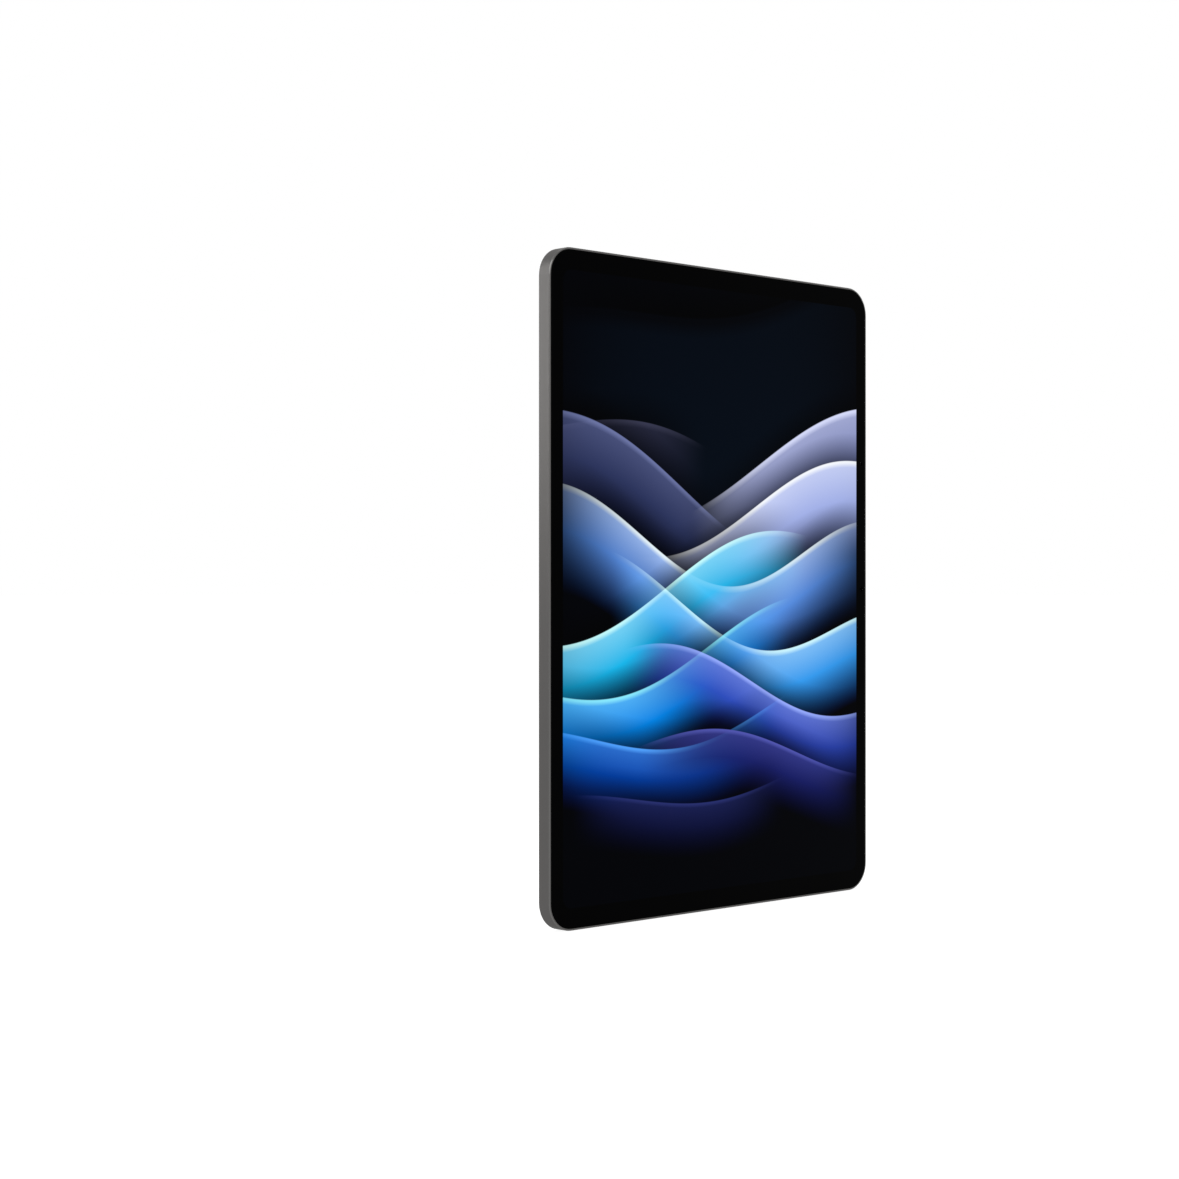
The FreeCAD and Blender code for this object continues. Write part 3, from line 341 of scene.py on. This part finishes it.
mesh_finish = Finish("speaker_mesh_steel", metallic=0.8, roughness=0.4)
wires = mesh_finish.lattice(0.24 * mm, "XY", "MAXIMUM")
mesh_finish.two_tone(mesh_finish.step(wires, 0.55, 0.8), (0.003, 0.003, 0.003),
                     (0.09, 0.09, 0.09))
mesh_finish.bump(wires, 6e-5)
mesh_finish.put_on("speaker_meshes")


# ---- USB-C socket ----
# A drawn steel shell round a black moulded tongue, with a row of gold-plated contacts let into
# each face of the tongue.

shell_finish = sheet_metal("shell_steel", (0.45, 0.45, 0.46), 0.24, (1, 1, 14))
shell_finish.put_on("usb_shell")
module_finish.put_on("usb_tongue")


def piece(name, points, faces, body, finish, slot, *replaced):
    """A new smooth-shaded mesh that rides on a body, and may stand for CAD nodes."""
    mesh = bpy.data.meshes.new(name)
    mesh.from_pydata(points.tolist(), [], faces)
    mesh.polygons.foreach_set("use_smooth", np.ones(len(mesh.polygons), bool))
    mesh.materials.append(finish.material)
    made = bpy.data.objects.new(name, mesh)
    bpy.context.collection.objects.link(made)
    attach(made, body)
    if replaced:
        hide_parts(*replaced)
    return made


def bars(lows, size, fall):
    """Thin raised bars: each is a box from its low corner, whose outer face, at the far end of
    Y, is drawn in by the fall on X and Z. A corner is low + unit * size, then drawn in."""
    unit = [[a, b, c] for b in (0, 1) for a, c in ((0, 0), (1, 0), (1, 1), (0, 1))]
    unit = np.array(unit, float)
    drawn = unit[:, 1:2] * (0.5 - unit) * 2 * np.array([fall, 0, fall])
    points = (lows[:, None, :] + unit * size + drawn).reshape(-1, 3)
    sides = np.array([(0, 1, 2, 3), (7, 6, 5, 4), (1, 0, 4, 5), (2, 1, 5, 6), (3, 2, 6, 7),
                      (0, 3, 7, 4)])
    if size[1] < 0:
        sides = sides[:, ::-1]
    return points, (np.arange(len(lows))[:, None, None] * 8 + sides).reshape(-1, 4)


tongue_low, tongue_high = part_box("usb_tongue")
contacts_in_row = 12
contact_pitch = 0.5 * mm
contact_size = np.array([0.26, 0.02, 3.6]) * mm
contact_fall = 0.02 * mm
set_back = 0.5 * mm
contact_x = (np.arange(contacts_in_row) - (contacts_in_row - 1) / 2) * contact_pitch
contact_x = contact_x - contact_size[0] / 2
for face_name, level, way in (("back", tongue_high.y, 1), ("front", tongue_low.y, -1)):
    lows = np.stack([contact_x, 0 * contact_x + level, 0 * contact_x + tongue_low.z + set_back], -1)
    points, faces = bars(lows, contact_size * (1, way, 1), contact_fall)
    contacts = piece("usb_contacts_" + face_name, points, faces.tolist(), "tablet", gold_finish,
                     "gold_plate")
    flat = np.zeros(len(contacts.data.polygons), bool)
    contacts.data.polygons.foreach_set("use_smooth", flat)


# ---- Camera island ----
# A ring and a plate turned from aluminium and glued into the back. Two gloss black discs stand
# in the plate: one holds the camera's sapphire window, the other the flash and its clear lens.

def rounded(corners, radius, steps=5):
    """The closed profile with each corner replaced by a short curve: a quadratic Bezier from a
    point on one side, with the corner as its control point, to a point on the other side. No
    curve reaches the middle of a side."""
    corners = np.array(corners, float)
    to_last, to_next = np.roll(corners, 1, 0) - corners, np.roll(corners, -1, 0) - corners
    last, following = (np.linalg.norm(side, axis=1, keepdims=True) for side in (to_last, to_next))
    reach = np.minimum(radius, np.minimum(last, following) / 2.1)
    start, end = corners + to_last / last * reach, corners + to_next / following * reach
    t = np.linspace(0, 1, steps)[None, :, None]
    bend = 2 * t * (1 - t) * corners[:, None]
    curve = (1 - t) ** 2 * start[:, None] + bend + t ** 2 * end[:, None]
    return curve.reshape(-1, 2)


def turned(profile, centre, turns=144, solid=False):
    """Points and faces of a profile of (radius, y) turned about a line along Y: the point at
    angle a is (cx + r cos a, y, cz + r sin a). The profile runs clockwise, with the radius to
    the right and y up. It closes on itself, or, if solid, both its ends close at the axis."""
    profile = np.array(profile, float)
    count = len(profile)
    angle = np.linspace(0, 2 * np.pi, turns, endpoint=False)[:, None]
    radius, level = profile[None, :, 0], profile[None, :, 1]
    grid = [centre.x + radius * np.cos(angle), level + 0 * angle,
            centre.z + radius * np.sin(angle)]
    points = np.stack(grid, -1).reshape(-1, 3)
    i, j = np.meshgrid(np.arange(turns), np.arange(count - solid), indexing="ij")
    this_row, next_row = i * count, (i + 1) % turns * count
    next_j = (j + 1) % count
    quads = np.stack([this_row + j, next_row + j, next_row + next_j, this_row + next_j], -1)
    faces = quads.reshape(-1, 4).tolist()
    if solid:
        top, bottom = len(points), len(points) + 1
        poles = [(centre.x, profile[0, 1], centre.z), (centre.x, profile[-1, 1], centre.z)]
        points = np.vstack([points, poles])
        here = np.arange(turns) * count
        after = np.roll(here, -1)
        faces += np.stack([0 * here + top, after, here], -1).tolist()
        faces += np.stack([0 * here + bottom, here + count - 1, after + count - 1], -1).tolist()
    return points, faces


def turned_piece(name, profile, centre, finish, slot, *replaced, body="tablet", turns=144,
                 solid=False):
    """A turned piece whose flats stay flat: each normal leans to the widest face beside it."""
    made = piece(name, *turned(profile, centre, turns, solid), body, finish, slot, *replaced)
    made.modifiers.new("flat_faces", "WEIGHTED_NORMAL").weight = 80
    return made


ring_low, ring_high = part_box("rear_camera_ring")
plate_low, plate_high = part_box("rear_camera_plate")
plate_gap = 0.05 * mm
ring_ledge = 0.9 * mm
ring_bevel_width = 0.25 * mm
ring_bevel_height = 0.55 * mm
ring_outside = (ring_high.x - ring_low.x) / 2
ring_inside = (plate_high.x - plate_low.x) / 2 + plate_gap
ring_bore = ring_inside - ring_ledge
ring_profile = rounded([
    (ring_bore, ring_low.y), (ring_bore, plate_low.y), (ring_inside, plate_low.y),
    (ring_inside, ring_high.y), (ring_outside - ring_bevel_width, ring_high.y),
    (ring_outside, ring_high.y - ring_bevel_height), (ring_outside, ring_low.y)], 0.2 * mm)
ring_finish = anodised("ring_aluminium", (0.092, 0.0895, 0.088), 0.42)
turned_piece("camera_ring", ring_profile, middle("rear_camera_ring"), ring_finish,
             "ring_aluminium", "rear_camera_ring", turns=192)

plate_finish = anodised("plate_aluminium", (0.118, 0.115, 0.113), 0.5)
plate_finish.put_on("rear_camera_plate")

black_gloss = Finish("lens_black", roughness=0.05, specular_ior_level=0.02)
black_gloss.set(base_color=black_gloss.mottle((0.003, 0.003, 0.0035), 2 * mm, 0.2))

disc_low, disc_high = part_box("camera_lens_bezel")
disc_radius = (disc_high.x - disc_low.x) / 2
disc_edge = 0.3 * mm
edge_round = 0.08 * mm
disc_rounding = 0.1 * mm
window_low, window_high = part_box("camera_window")
window_radius = (window_high.x - window_low.x) / 2
slit = 0.05 * mm
slit_lip = 0.2 * mm
seat_radius = window_radius - 0.75 * mm
outer_edge = [(disc_radius - disc_edge, disc_high.y),
              (disc_radius - edge_round, disc_high.y - edge_round),
              (disc_radius, disc_high.y - disc_edge), (disc_radius, disc_low.y)]
bezel_profile = rounded([
    (seat_radius, disc_low.y), (seat_radius, window_low.y), (window_radius + slit, window_low.y),
    (window_radius + slit, disc_high.y - slit), (window_radius + slit_lip, disc_high.y),
    *outer_edge], disc_rounding)
camera = middle("camera_lens_bezel")
turned_piece("camera_bezel", bezel_profile, camera, black_gloss, "lens_black", "camera_lens_bezel")

window_finish = Finish("window_glass", roughness=0.02, specular_ior_level=0.04)
window_tint = window_finish.mottle((0.002, 0.0024, 0.004), 8 * mm, 0.2)
window_clear = window_finish.step(window_finish.noise(30 * mm), 0.0, 1.0, 0.40, 0.44)
window_finish.set(base_color=window_tint, alpha=window_clear)
window_finish.put_on("front_camera_lens")
crown = 0.10 * mm
edge_break = 0.06 * mm
pole = 0.02  # share of the radius at which a profile starts, beside the axis
r = np.linspace(pole, 0.96, 14) * window_radius
crowned = np.stack([r, window_high.y + crown * (1 - (r / window_radius) ** 2)], -1)
window_rim = [(window_radius - edge_break / 2, window_high.y),
              (window_radius, window_high.y - edge_break),
              (window_radius, window_low.y + edge_break),
              (window_radius - edge_break, window_low.y), (pole * window_radius, window_low.y)]
turned_piece("camera_glass", np.vstack([crowned, window_rim]), camera, window_finish,
             "window_glass", "camera_window", turns=96, solid=True)

# Stepped black funnel under the window, which keeps stray light out of the lens. Its treads lie
# farther out the nearer they are to the window.
stairs = 6
stair_bore = 2.35 * mm
funnel_radius = seat_radius - 0.04 * mm
funnel_low, funnel_high = disc_low.y + 0.03 * mm, window_low.y - 0.04 * mm
tread = np.linspace(stair_bore, funnel_radius - 0.25 * mm, stairs + 1)
riser = np.linspace(funnel_low + 0.04 * mm, funnel_high - 0.02 * mm, stairs + 1)
steps_up = np.stack([np.repeat(tread, 2)[1:], np.repeat(riser, 2)[:-1]], -1)
funnel_outside = [(funnel_radius, funnel_high), (funnel_radius, funnel_low)]
funnel_profile = np.vstack([[(tread[0], funnel_low)], steps_up, funnel_outside])
funnel_finish = Finish("funnel_black", roughness=0.55, specular_ior_level=0.4)
funnel_finish.set(base_color=funnel_finish.mottle((0.012, 0.012, 0.013), 0.5 * mm, 0.2))
turned_piece("lens_funnel", funnel_profile, camera, funnel_finish, "module_black", turns=96)

# The lens's own front glass: a deep curve in the sliding barrel. Its coating is real, but the
# violet and green it reflects is painted into its colour: violet face on, green at a flat angle.
barrel_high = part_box("rear_lens_barrel")[1]
element_radius = 2.0 * mm
element_rise = 0.34 * mm
element_drop = 0.02 * mm
element_depth = 0.38 * mm
r = np.linspace(pole, 1.0, 16) * element_radius
element_top = barrel_high.y - element_drop
curve = np.stack([r, element_top - element_rise * (r / element_radius) ** 2], -1)
element_profile = np.vstack([curve, [(pole * element_radius, barrel_high.y - element_depth)]])
coated = Finish("coated_element", roughness=0.03, specular_ior_level=0.2)
# Painted reflection: the coating's sheen, as base colour that follows the angle to the eye.
painted_coating_sheen = coated.add("LayerWeight", {"Blend": 0.35}, out="Facing")
coated.two_tone(painted_coating_sheen, (0.030, 0.012, 0.070), (0.010, 0.055, 0.040))
turned_piece("front_element", element_profile, camera, coated, "window_glass",
             body="lens_carriage", turns=96, solid=True)

# Flash: the second disc is plain but for the clear lens in its middle, which is ringed with fine
# ridges over a cream-coloured emitter.
flash = middle("flash_bezel")
flash_low, flash_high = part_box("flash_window")
flash_radius = (flash_high.x - flash_low.x) / 2
flash_bore = flash_radius + slit
flash_lip = 0.15 * mm
flash_profile = rounded([
    (flash_bore, disc_low.y), (flash_bore, disc_high.y - edge_round),
    (flash_bore + flash_lip, disc_high.y), *outer_edge], disc_rounding)
turned_piece("flash_disc", flash_profile, flash, black_gloss, "lens_black", "flash_bezel")

ridges = 9
ridge_depth = 0.05 * mm
flash_pole = 0.03
r = np.linspace(flash_pole, 0.97, ridges * 4 + 1)
saw = (r * ridges) % 1.0
lens_top = np.stack([r * flash_radius, flash_high.y - ridge_depth * saw], -1)
lens_rim = [(flash_radius, flash_high.y - edge_break), (flash_radius, flash_low.y),
            (flash_pole * flash_radius, flash_low.y)]
flash_finish = Finish("flash_glass", roughness=0.1, specular_ior_level=0.5)
flash_pale = flash_finish.mottle((0.92, 0.91, 0.87), 1 * mm, 0.03)
flash_clear = flash_finish.step(flash_finish.noise(1 * mm), 0.0, 1.0, 0.5, 0.6)
flash_finish.set(base_color=flash_pale, alpha=flash_clear)
turned_piece("flash_lens", np.vstack([lens_top, lens_rim]), flash, flash_finish, "flash_glass",
             "flash_window", turns=96, solid=True)
emitter_finish = Finish("flash_emitter", roughness=0.5)
emitter_finish.grained((0.93, 0.88, 0.62), 0.3 * mm, 0.06, 0.08 * mm, 6e-6)
emitter_finish.put_on("flash_led")


# ---- Snap domes ----
# Pressed discs of spring steel behind the keys, square with round corners. A key's post would
# flatten them; here they keep their rest shape.

dome_sheet = 0.06 * mm


def dome_cap(foot, rise):
    """A thin bump over a square foot: its underside is (rise - sheet) (1 - r^2)^2 high, with r
    from 0 to 1, and its outline is |x|^6 + |z|^6 = foot^6. Y is up, and the foot is at 0."""
    r = np.linspace(0.04, 1.0, 12)
    bump = (rise - dome_sheet) * (1 - r ** 2) ** 2
    profile = np.vstack([np.stack([r, bump + dome_sheet], -1), np.stack([r, bump], -1)[::-1]])
    points, faces = turned(profile, Vector((0.0, 0.0, 0.0)), turns=64, solid=True)
    flat = points[:, ::2]
    length = np.maximum(np.hypot(*flat.T), 1e-9)[:, None]
    power_sum = (np.abs(flat / length) ** 6).sum(1, keepdims=True)
    square = np.maximum(power_sum, 0.1) ** (-1 / 6)
    points[:, ::2] = flat * square * foot
    return points, faces


volume_low, volume_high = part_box("volume_snap_domes")
foot = (volume_high.y - volume_low.y) / 2
cap, cap_faces = dome_cap(foot, volume_high.x - volume_low.x)
places = [np.array([volume_low.x, (volume_low.y + volume_high.y) / 2, z])
          for z in (volume_low.z + foot, volume_high.z - foot)]
both = np.vstack([place + cap[:, [1, 2, 0]] for place in places])
both_faces = cap_faces + [[index + len(cap) for index in face] for face in cap_faces]
volume_domes = piece("volume_domes", both, both_faces, "tablet", steel_finish, "steel",
                     "volume_snap_domes")
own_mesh(volume_domes)

power_low, power_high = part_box("power_snap_dome")
cap, cap_faces = dome_cap((power_high.x - power_low.x) / 2, power_high.z - power_low.z)
place = np.array([(power_low.x + power_high.x) / 2, (power_low.y + power_high.y) / 2, power_low.z])
power_dome = piece("power_dome", place + cap[:, [2, 0, 1]], cap_faces, "tablet", steel_finish,
                   "steel", "power_snap_dome")
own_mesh(power_dome)


# ---- Cover glass and picture ----
# Toughened glass over the whole front, with a black border printed behind it and the display
# bonded to it without an air gap, so that the picture seems to lie at the surface.

picture_low, picture_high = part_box("lcd_panel")
sealed_edge = 1.0 * mm
picture_corner = 4.6 * mm
picture_width = picture_high.x - picture_low.x - 2 * sealed_edge
picture_height = picture_high.z - picture_low.z - 2 * sealed_edge
picture_centre = (picture_low + picture_high) / 2

# A still picture of silk folds, from the farthest to the nearest. Each row gives the fold's level
# at mid width, its rise, swing, waves and phase, its depth, where along the width it is brightest
# and how far it reaches, then its rim, body and shade colours, and how well it covers.
folds = (
    (0.980, 0.14, 0.030, 0.80, 0.30, 0.60, 0.50, 0.60,
     (0.0004, 0.0008, 0.002), (0.001, 0.0034, 0.0085), (0.000, 0.000, 0.001), 1.00),
    (0.700, -0.10, 0.045, 0.80, 0.02, 0.16, 0.12, 0.34,
     (0.050, 0.052, 0.100), (0.012, 0.014, 0.036), (0.000, 0.000, 0.004), 0.80),
    (0.640, -0.20, 0.045, 0.90, 0.16, 0.17, 0.22, 0.36,
     (0.160, 0.190, 0.400), (0.030, 0.042, 0.130), (0.000, 0.000, 0.020), 0.90),
    (0.690, 0.15, 0.055, 0.75, 0.52, 0.20, 0.90, 0.50,
     (0.700, 0.740, 1.000), (0.240, 0.280, 0.560), (0.020, 0.020, 0.100), 0.95),
    (0.630, 0.07, 0.065, 0.80, 0.50, 0.17, 0.77, 0.56,
     (0.920, 0.950, 1.000), (0.400, 0.480, 0.880), (0.020, 0.040, 0.180), 1.00),
    (0.575, -0.04, 0.070, 0.90, 0.28, 0.17, 0.50, 0.58,
     (0.820, 0.940, 1.000), (0.120, 0.320, 0.900), (0.000, 0.030, 0.200), 1.00),
    (0.525, 0.12, 0.055, 0.85, 0.72, 0.16, 0.30, 0.52,
     (0.550, 0.980, 1.000), (0.010, 0.520, 0.920), (0.000, 0.040, 0.280), 1.00),
    (0.470, -0.10, 0.060, 0.90, 0.18, 0.15, 0.70, 0.56,
     (0.600, 0.920, 1.000), (0.040, 0.360, 0.950), (0.000, 0.020, 0.220), 1.00),
    (0.410, 0.10, 0.050, 0.85, 0.60, 0.14, 0.28, 0.48,
     (0.250, 0.820, 1.000), (0.000, 0.270, 0.920), (0.000, 0.010, 0.160), 1.00),
    (0.350, -0.06, 0.050, 0.90, 0.95, 0.13, 0.66, 0.48,
     (0.300, 0.400, 0.980), (0.030, 0.070, 0.520), (0.000, 0.000, 0.090), 1.00),
    (0.290, 0.07, 0.042, 0.85, 0.42, 0.12, 0.32, 0.42,
     (0.080, 0.350, 0.980), (0.000, 0.060, 0.440), (0.000, 0.000, 0.070), 1.00),
    (0.230, -0.05, 0.036, 0.90, 0.80, 0.11, 0.62, 0.40,
     (0.080, 0.090, 0.420), (0.010, 0.014, 0.140), (0.000, 0.000, 0.020), 1.00),
    (0.175, 0.05, 0.028, 0.90, 0.30, 0.09, 0.38, 0.36,
     (0.020, 0.028, 0.150), (0.004, 0.006, 0.045), (0.000, 0.000, 0.008), 1.00),
)
night = (0.0002, 0.0004, 0.0012)
black = (0, 0, 0)
cast_shadow = 0.05
shadow_edge, shadow_strength = 0.004, 0.75
rim_width = 0.012
glow_width, glow_cover, rim_in_glow = 0.05, 0.96, 0.30
body_reach, body_cover = 0.42, 0.9


def silk_picture(finish, across, up):
    """Folds laid over each other; across and up run from 0 to 1 over the picture.

    A fold's rim is a sloping line plus a sine. Its colour follows the depth below the rim, and
    just above the rim it shades what lies behind. It fades with the square of the distance from
    its brightest place."""
    colour = night
    for level, rise, swing, waves, phase, depth, best, reach, rim, body, shade, cover in folds:
        turn = finish.calc("MULTIPLY_ADD", across, 2 * math.pi * waves, 2 * math.pi * phase)
        line = finish.calc("MULTIPLY_ADD", across, rise, level - rise / 2 + cast_shadow)
        crest = finish.calc("MULTIPLY_ADD", finish.calc("SINE", turn), swing, line)
        below = finish.calc("DIVIDE", finish.calc("SUBTRACT", crest, up), depth + cast_shadow)
        edge = cast_shadow / (depth + cast_shadow)
        glow = tuple(rim_in_glow * a + (1 - rim_in_glow) * b for a, b in zip(rim, body))
        stops = ((0.0, black, 0.0), (1.0, shade, 0.0),
                 (edge - shadow_edge, black, shadow_strength),
                 (edge, rim, 1.0), (edge + rim_width, rim, 1.0),
                 (edge + glow_width, glow, glow_cover),
                 (edge + body_reach * (1 - edge), body, body_cover))
        ramp = finish.tree.nodes.new("ShaderNodeValToRGB")
        finish.wire(below, ramp.inputs[0])
        row = ramp.color_ramp.elements
        for index, (position, light, alpha) in enumerate(stops):
            stop = row[index] if index < 2 else row.new(position)
            stop.color = (*light, alpha)
        away = finish.calc("DIVIDE", finish.calc("SUBTRACT", across, best), reach)
        near = finish.calc("SUBTRACT", 1.0, finish.calc("MULTIPLY", away, away))
        eased = finish.add("MapRange", {"Value": near, "To Max": cover},
                           interpolation_type="SMOOTHSTEP")
        covered = finish.calc("MULTIPLY", ramp.outputs["Alpha"], eased)
        colour = finish.mix(covered, colour, ramp.outputs["Color"])
    return colour


def inside_rounded(finish, centre, width, height, radius):
    """1 inside a rectangle with round corners in the XZ plane, 0 outside: the length of what |x|
    and |z| exceed the straight sides by, compared with the corner's radius."""
    offset = finish.add("VectorMath", {0: finish.place, 1: tuple(centre)}, operation="SUBTRACT")
    folded = finish.add("VectorMath", {0: offset}, operation="ABSOLUTE")
    straight = (width / 2 - radius, 1.0, height / 2 - radius)
    beyond = finish.add("VectorMath", {0: folded, 1: straight}, operation="SUBTRACT")
    outside = finish.add("VectorMath", {0: beyond, 1: (0.0, 0.0, 0.0)}, operation="MAXIMUM")
    distance = finish.add("VectorMath", {0: outside}, out="Value", operation="LENGTH")
    return finish.step(distance, radius, radius - 0.05 * mm)


def outside_round(finish, centre, radius):
    """0 within the radius of the line through the centre along Y, 1 outside."""
    flat = finish.add("VectorMath", {0: finish.place, 1: (1.0, 0.0, 1.0)}, operation="MULTIPLY")
    target = (centre.x, 0.0, centre.z)
    distance = finish.add("VectorMath", {0: flat, 1: target}, out="Value", operation="DISTANCE")
    return finish.step(distance, radius - 0.05 * mm, radius)


def share_of(finish, letter, centre, length):
    """How far along a length, centred on a point, the place is, from 0 to 1."""
    return finish.step(finish.axis(letter), centre - length / 2, centre + length / 2)


glass_finish = Finish("cover_glass", roughness=0.03, specular_ior_level=0.01)
glass_finish.set(base_color=glass_finish.mottle((0.0005, 0.0005, 0.0007), 40 * mm, 0.1))
across = share_of(glass_finish, "X", picture_centre.x, picture_width)
up = share_of(glass_finish, "Z", picture_centre.z, picture_height)
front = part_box("cover_glass")[0].y
at_front = glass_finish.step(glass_finish.axis("Y"), front + 0.03 * mm, front + 0.01 * mm)
lit = glass_finish.calc("MULTIPLY", at_front, inside_rounded(
    glass_finish, picture_centre, picture_width, picture_height, picture_corner))
picture = silk_picture(glass_finish, across, up)
glass_finish.set(emission_color=glass_finish.mix(lit, black, picture), emission_strength=1.0)

# Two clear spots in the printed border, for the front camera and the light sensor.
camera_spot = 1.1 * mm
sensor_spot = 0.7 * mm
clear_glass = 0.25
printed = glass_finish.calc(
    "MULTIPLY", outside_round(glass_finish, middle("front_camera_lens"), camera_spot),
    outside_round(glass_finish, middle("light_sensor"), sensor_spot))
glass_finish.set(alpha=glass_finish.step(printed, 0.0, 1.0, clear_glass, 1.0))
glass_finish.put_on("cover_glass")


# ---- Studio ----
# A pale seamless floor and surround, three large soft lamps and a small low one behind the back,
# and the camera a little to the left of the front at mid height.

def soft_lamp(name, place, aim, size, power):
    """Square lamp that faces a point."""
    lamp = bpy.data.lights.new(name, "AREA")
    lamp.size = size
    lamp.energy = power
    stand = bpy.data.objects.new(name, lamp)
    bpy.context.collection.objects.link(stand)
    stand.location = place
    stand.rotation_euler = (Vector(aim) - Vector(place)).to_track_quat("-Z", "Y").to_euler()


tablet_middle = (0.0, 0.0, 0.13)
upper_back = (0.06, 0.0, 0.20)
soft_lamp("front_lamp", (-0.9, -1.3, 1.1), tablet_middle, 1.2, 10)
soft_lamp("side_lamp", (1.5, 0.2, 0.8), tablet_middle, 1.0, 6)
soft_lamp("back_lamp", (-0.13, 0.30, 0.29), upper_back, 0.2, 1.5)
soft_lamp("top_lamp", (0.2, 0.3, 1.6), tablet_middle, 1.2, 4)


def seen_by_eye(tree):
    """1 for camera, glossy and transmission rays: those that show the background."""
    path = tree.nodes.new("ShaderNodeLightPath")
    total = path.outputs["Is Camera Ray"]
    for name in ("Is Glossy Ray", "Is Transmission Ray"):
        larger = tree.nodes.new("ShaderNodeMath")
        larger.operation = "MAXIMUM"
        tree.links.new(total, larger.inputs[0])
        tree.links.new(path.outputs[name], larger.inputs[1])
        total = larger.outputs[0]
    return total


surround_light = 0.45
world = bpy.data.worlds.new("studio")
bpy.context.scene.world = world
world.use_nodes = True
tree = world.node_tree
surround = tree.nodes["Background"]
surround.inputs["Color"].default_value = (1, 1, 1, 1)
strength = tree.nodes.new("ShaderNodeMapRange")
strength.inputs["To Min"].default_value = surround_light
tree.links.new(seen_by_eye(tree), strength.inputs["Value"])
tree.links.new(strength.outputs[0], surround.inputs["Strength"])

floor_white = 0.93
floor_reach = 40.0
floor_level = cad_box[0][2] - 0.05 * mm
floor_finish = Finish("studio_floor", base_color=(0.2, 0.2, 0.2), roughness=0.9,
                      specular_ior_level=0.0, emission_color=(1.0, 1.0, 1.0))
floor_finish.set(emission_strength=floor_finish.calc(
    "MULTIPLY", seen_by_eye(floor_finish.tree), floor_white))
floor_mesh = bpy.data.meshes.new("studio_floor")
corners = [(x * floor_reach, y * floor_reach, floor_level)
           for x, y in ((-1, -1), (1, -1), (1, 1), (-1, 1))]
floor_mesh.from_pydata(corners, [], [(0, 1, 2, 3)])
floor_mesh.materials.append(floor_finish.material)
floor = bpy.data.objects.new("studio_floor", floor_mesh)
bpy.context.collection.objects.link(floor)

eye_place = (-0.672, -0.6295, 0.133)
eye_aim = Vector((0.6902, 0.7236, 0.0))
eye = bpy.data.cameras.new("camera")
eye.lens = 67.3
eye.sensor_width = 36
eye.clip_end = 100
stand = bpy.data.objects.new("camera", eye)
bpy.context.collection.objects.link(stand)
stand.location = eye_place
stand.rotation_euler = eye_aim.to_track_quat("-Z", "Y").to_euler()
bpy.context.scene.camera = stand
bpy.context.scene.view_settings.view_transform = "Standard"
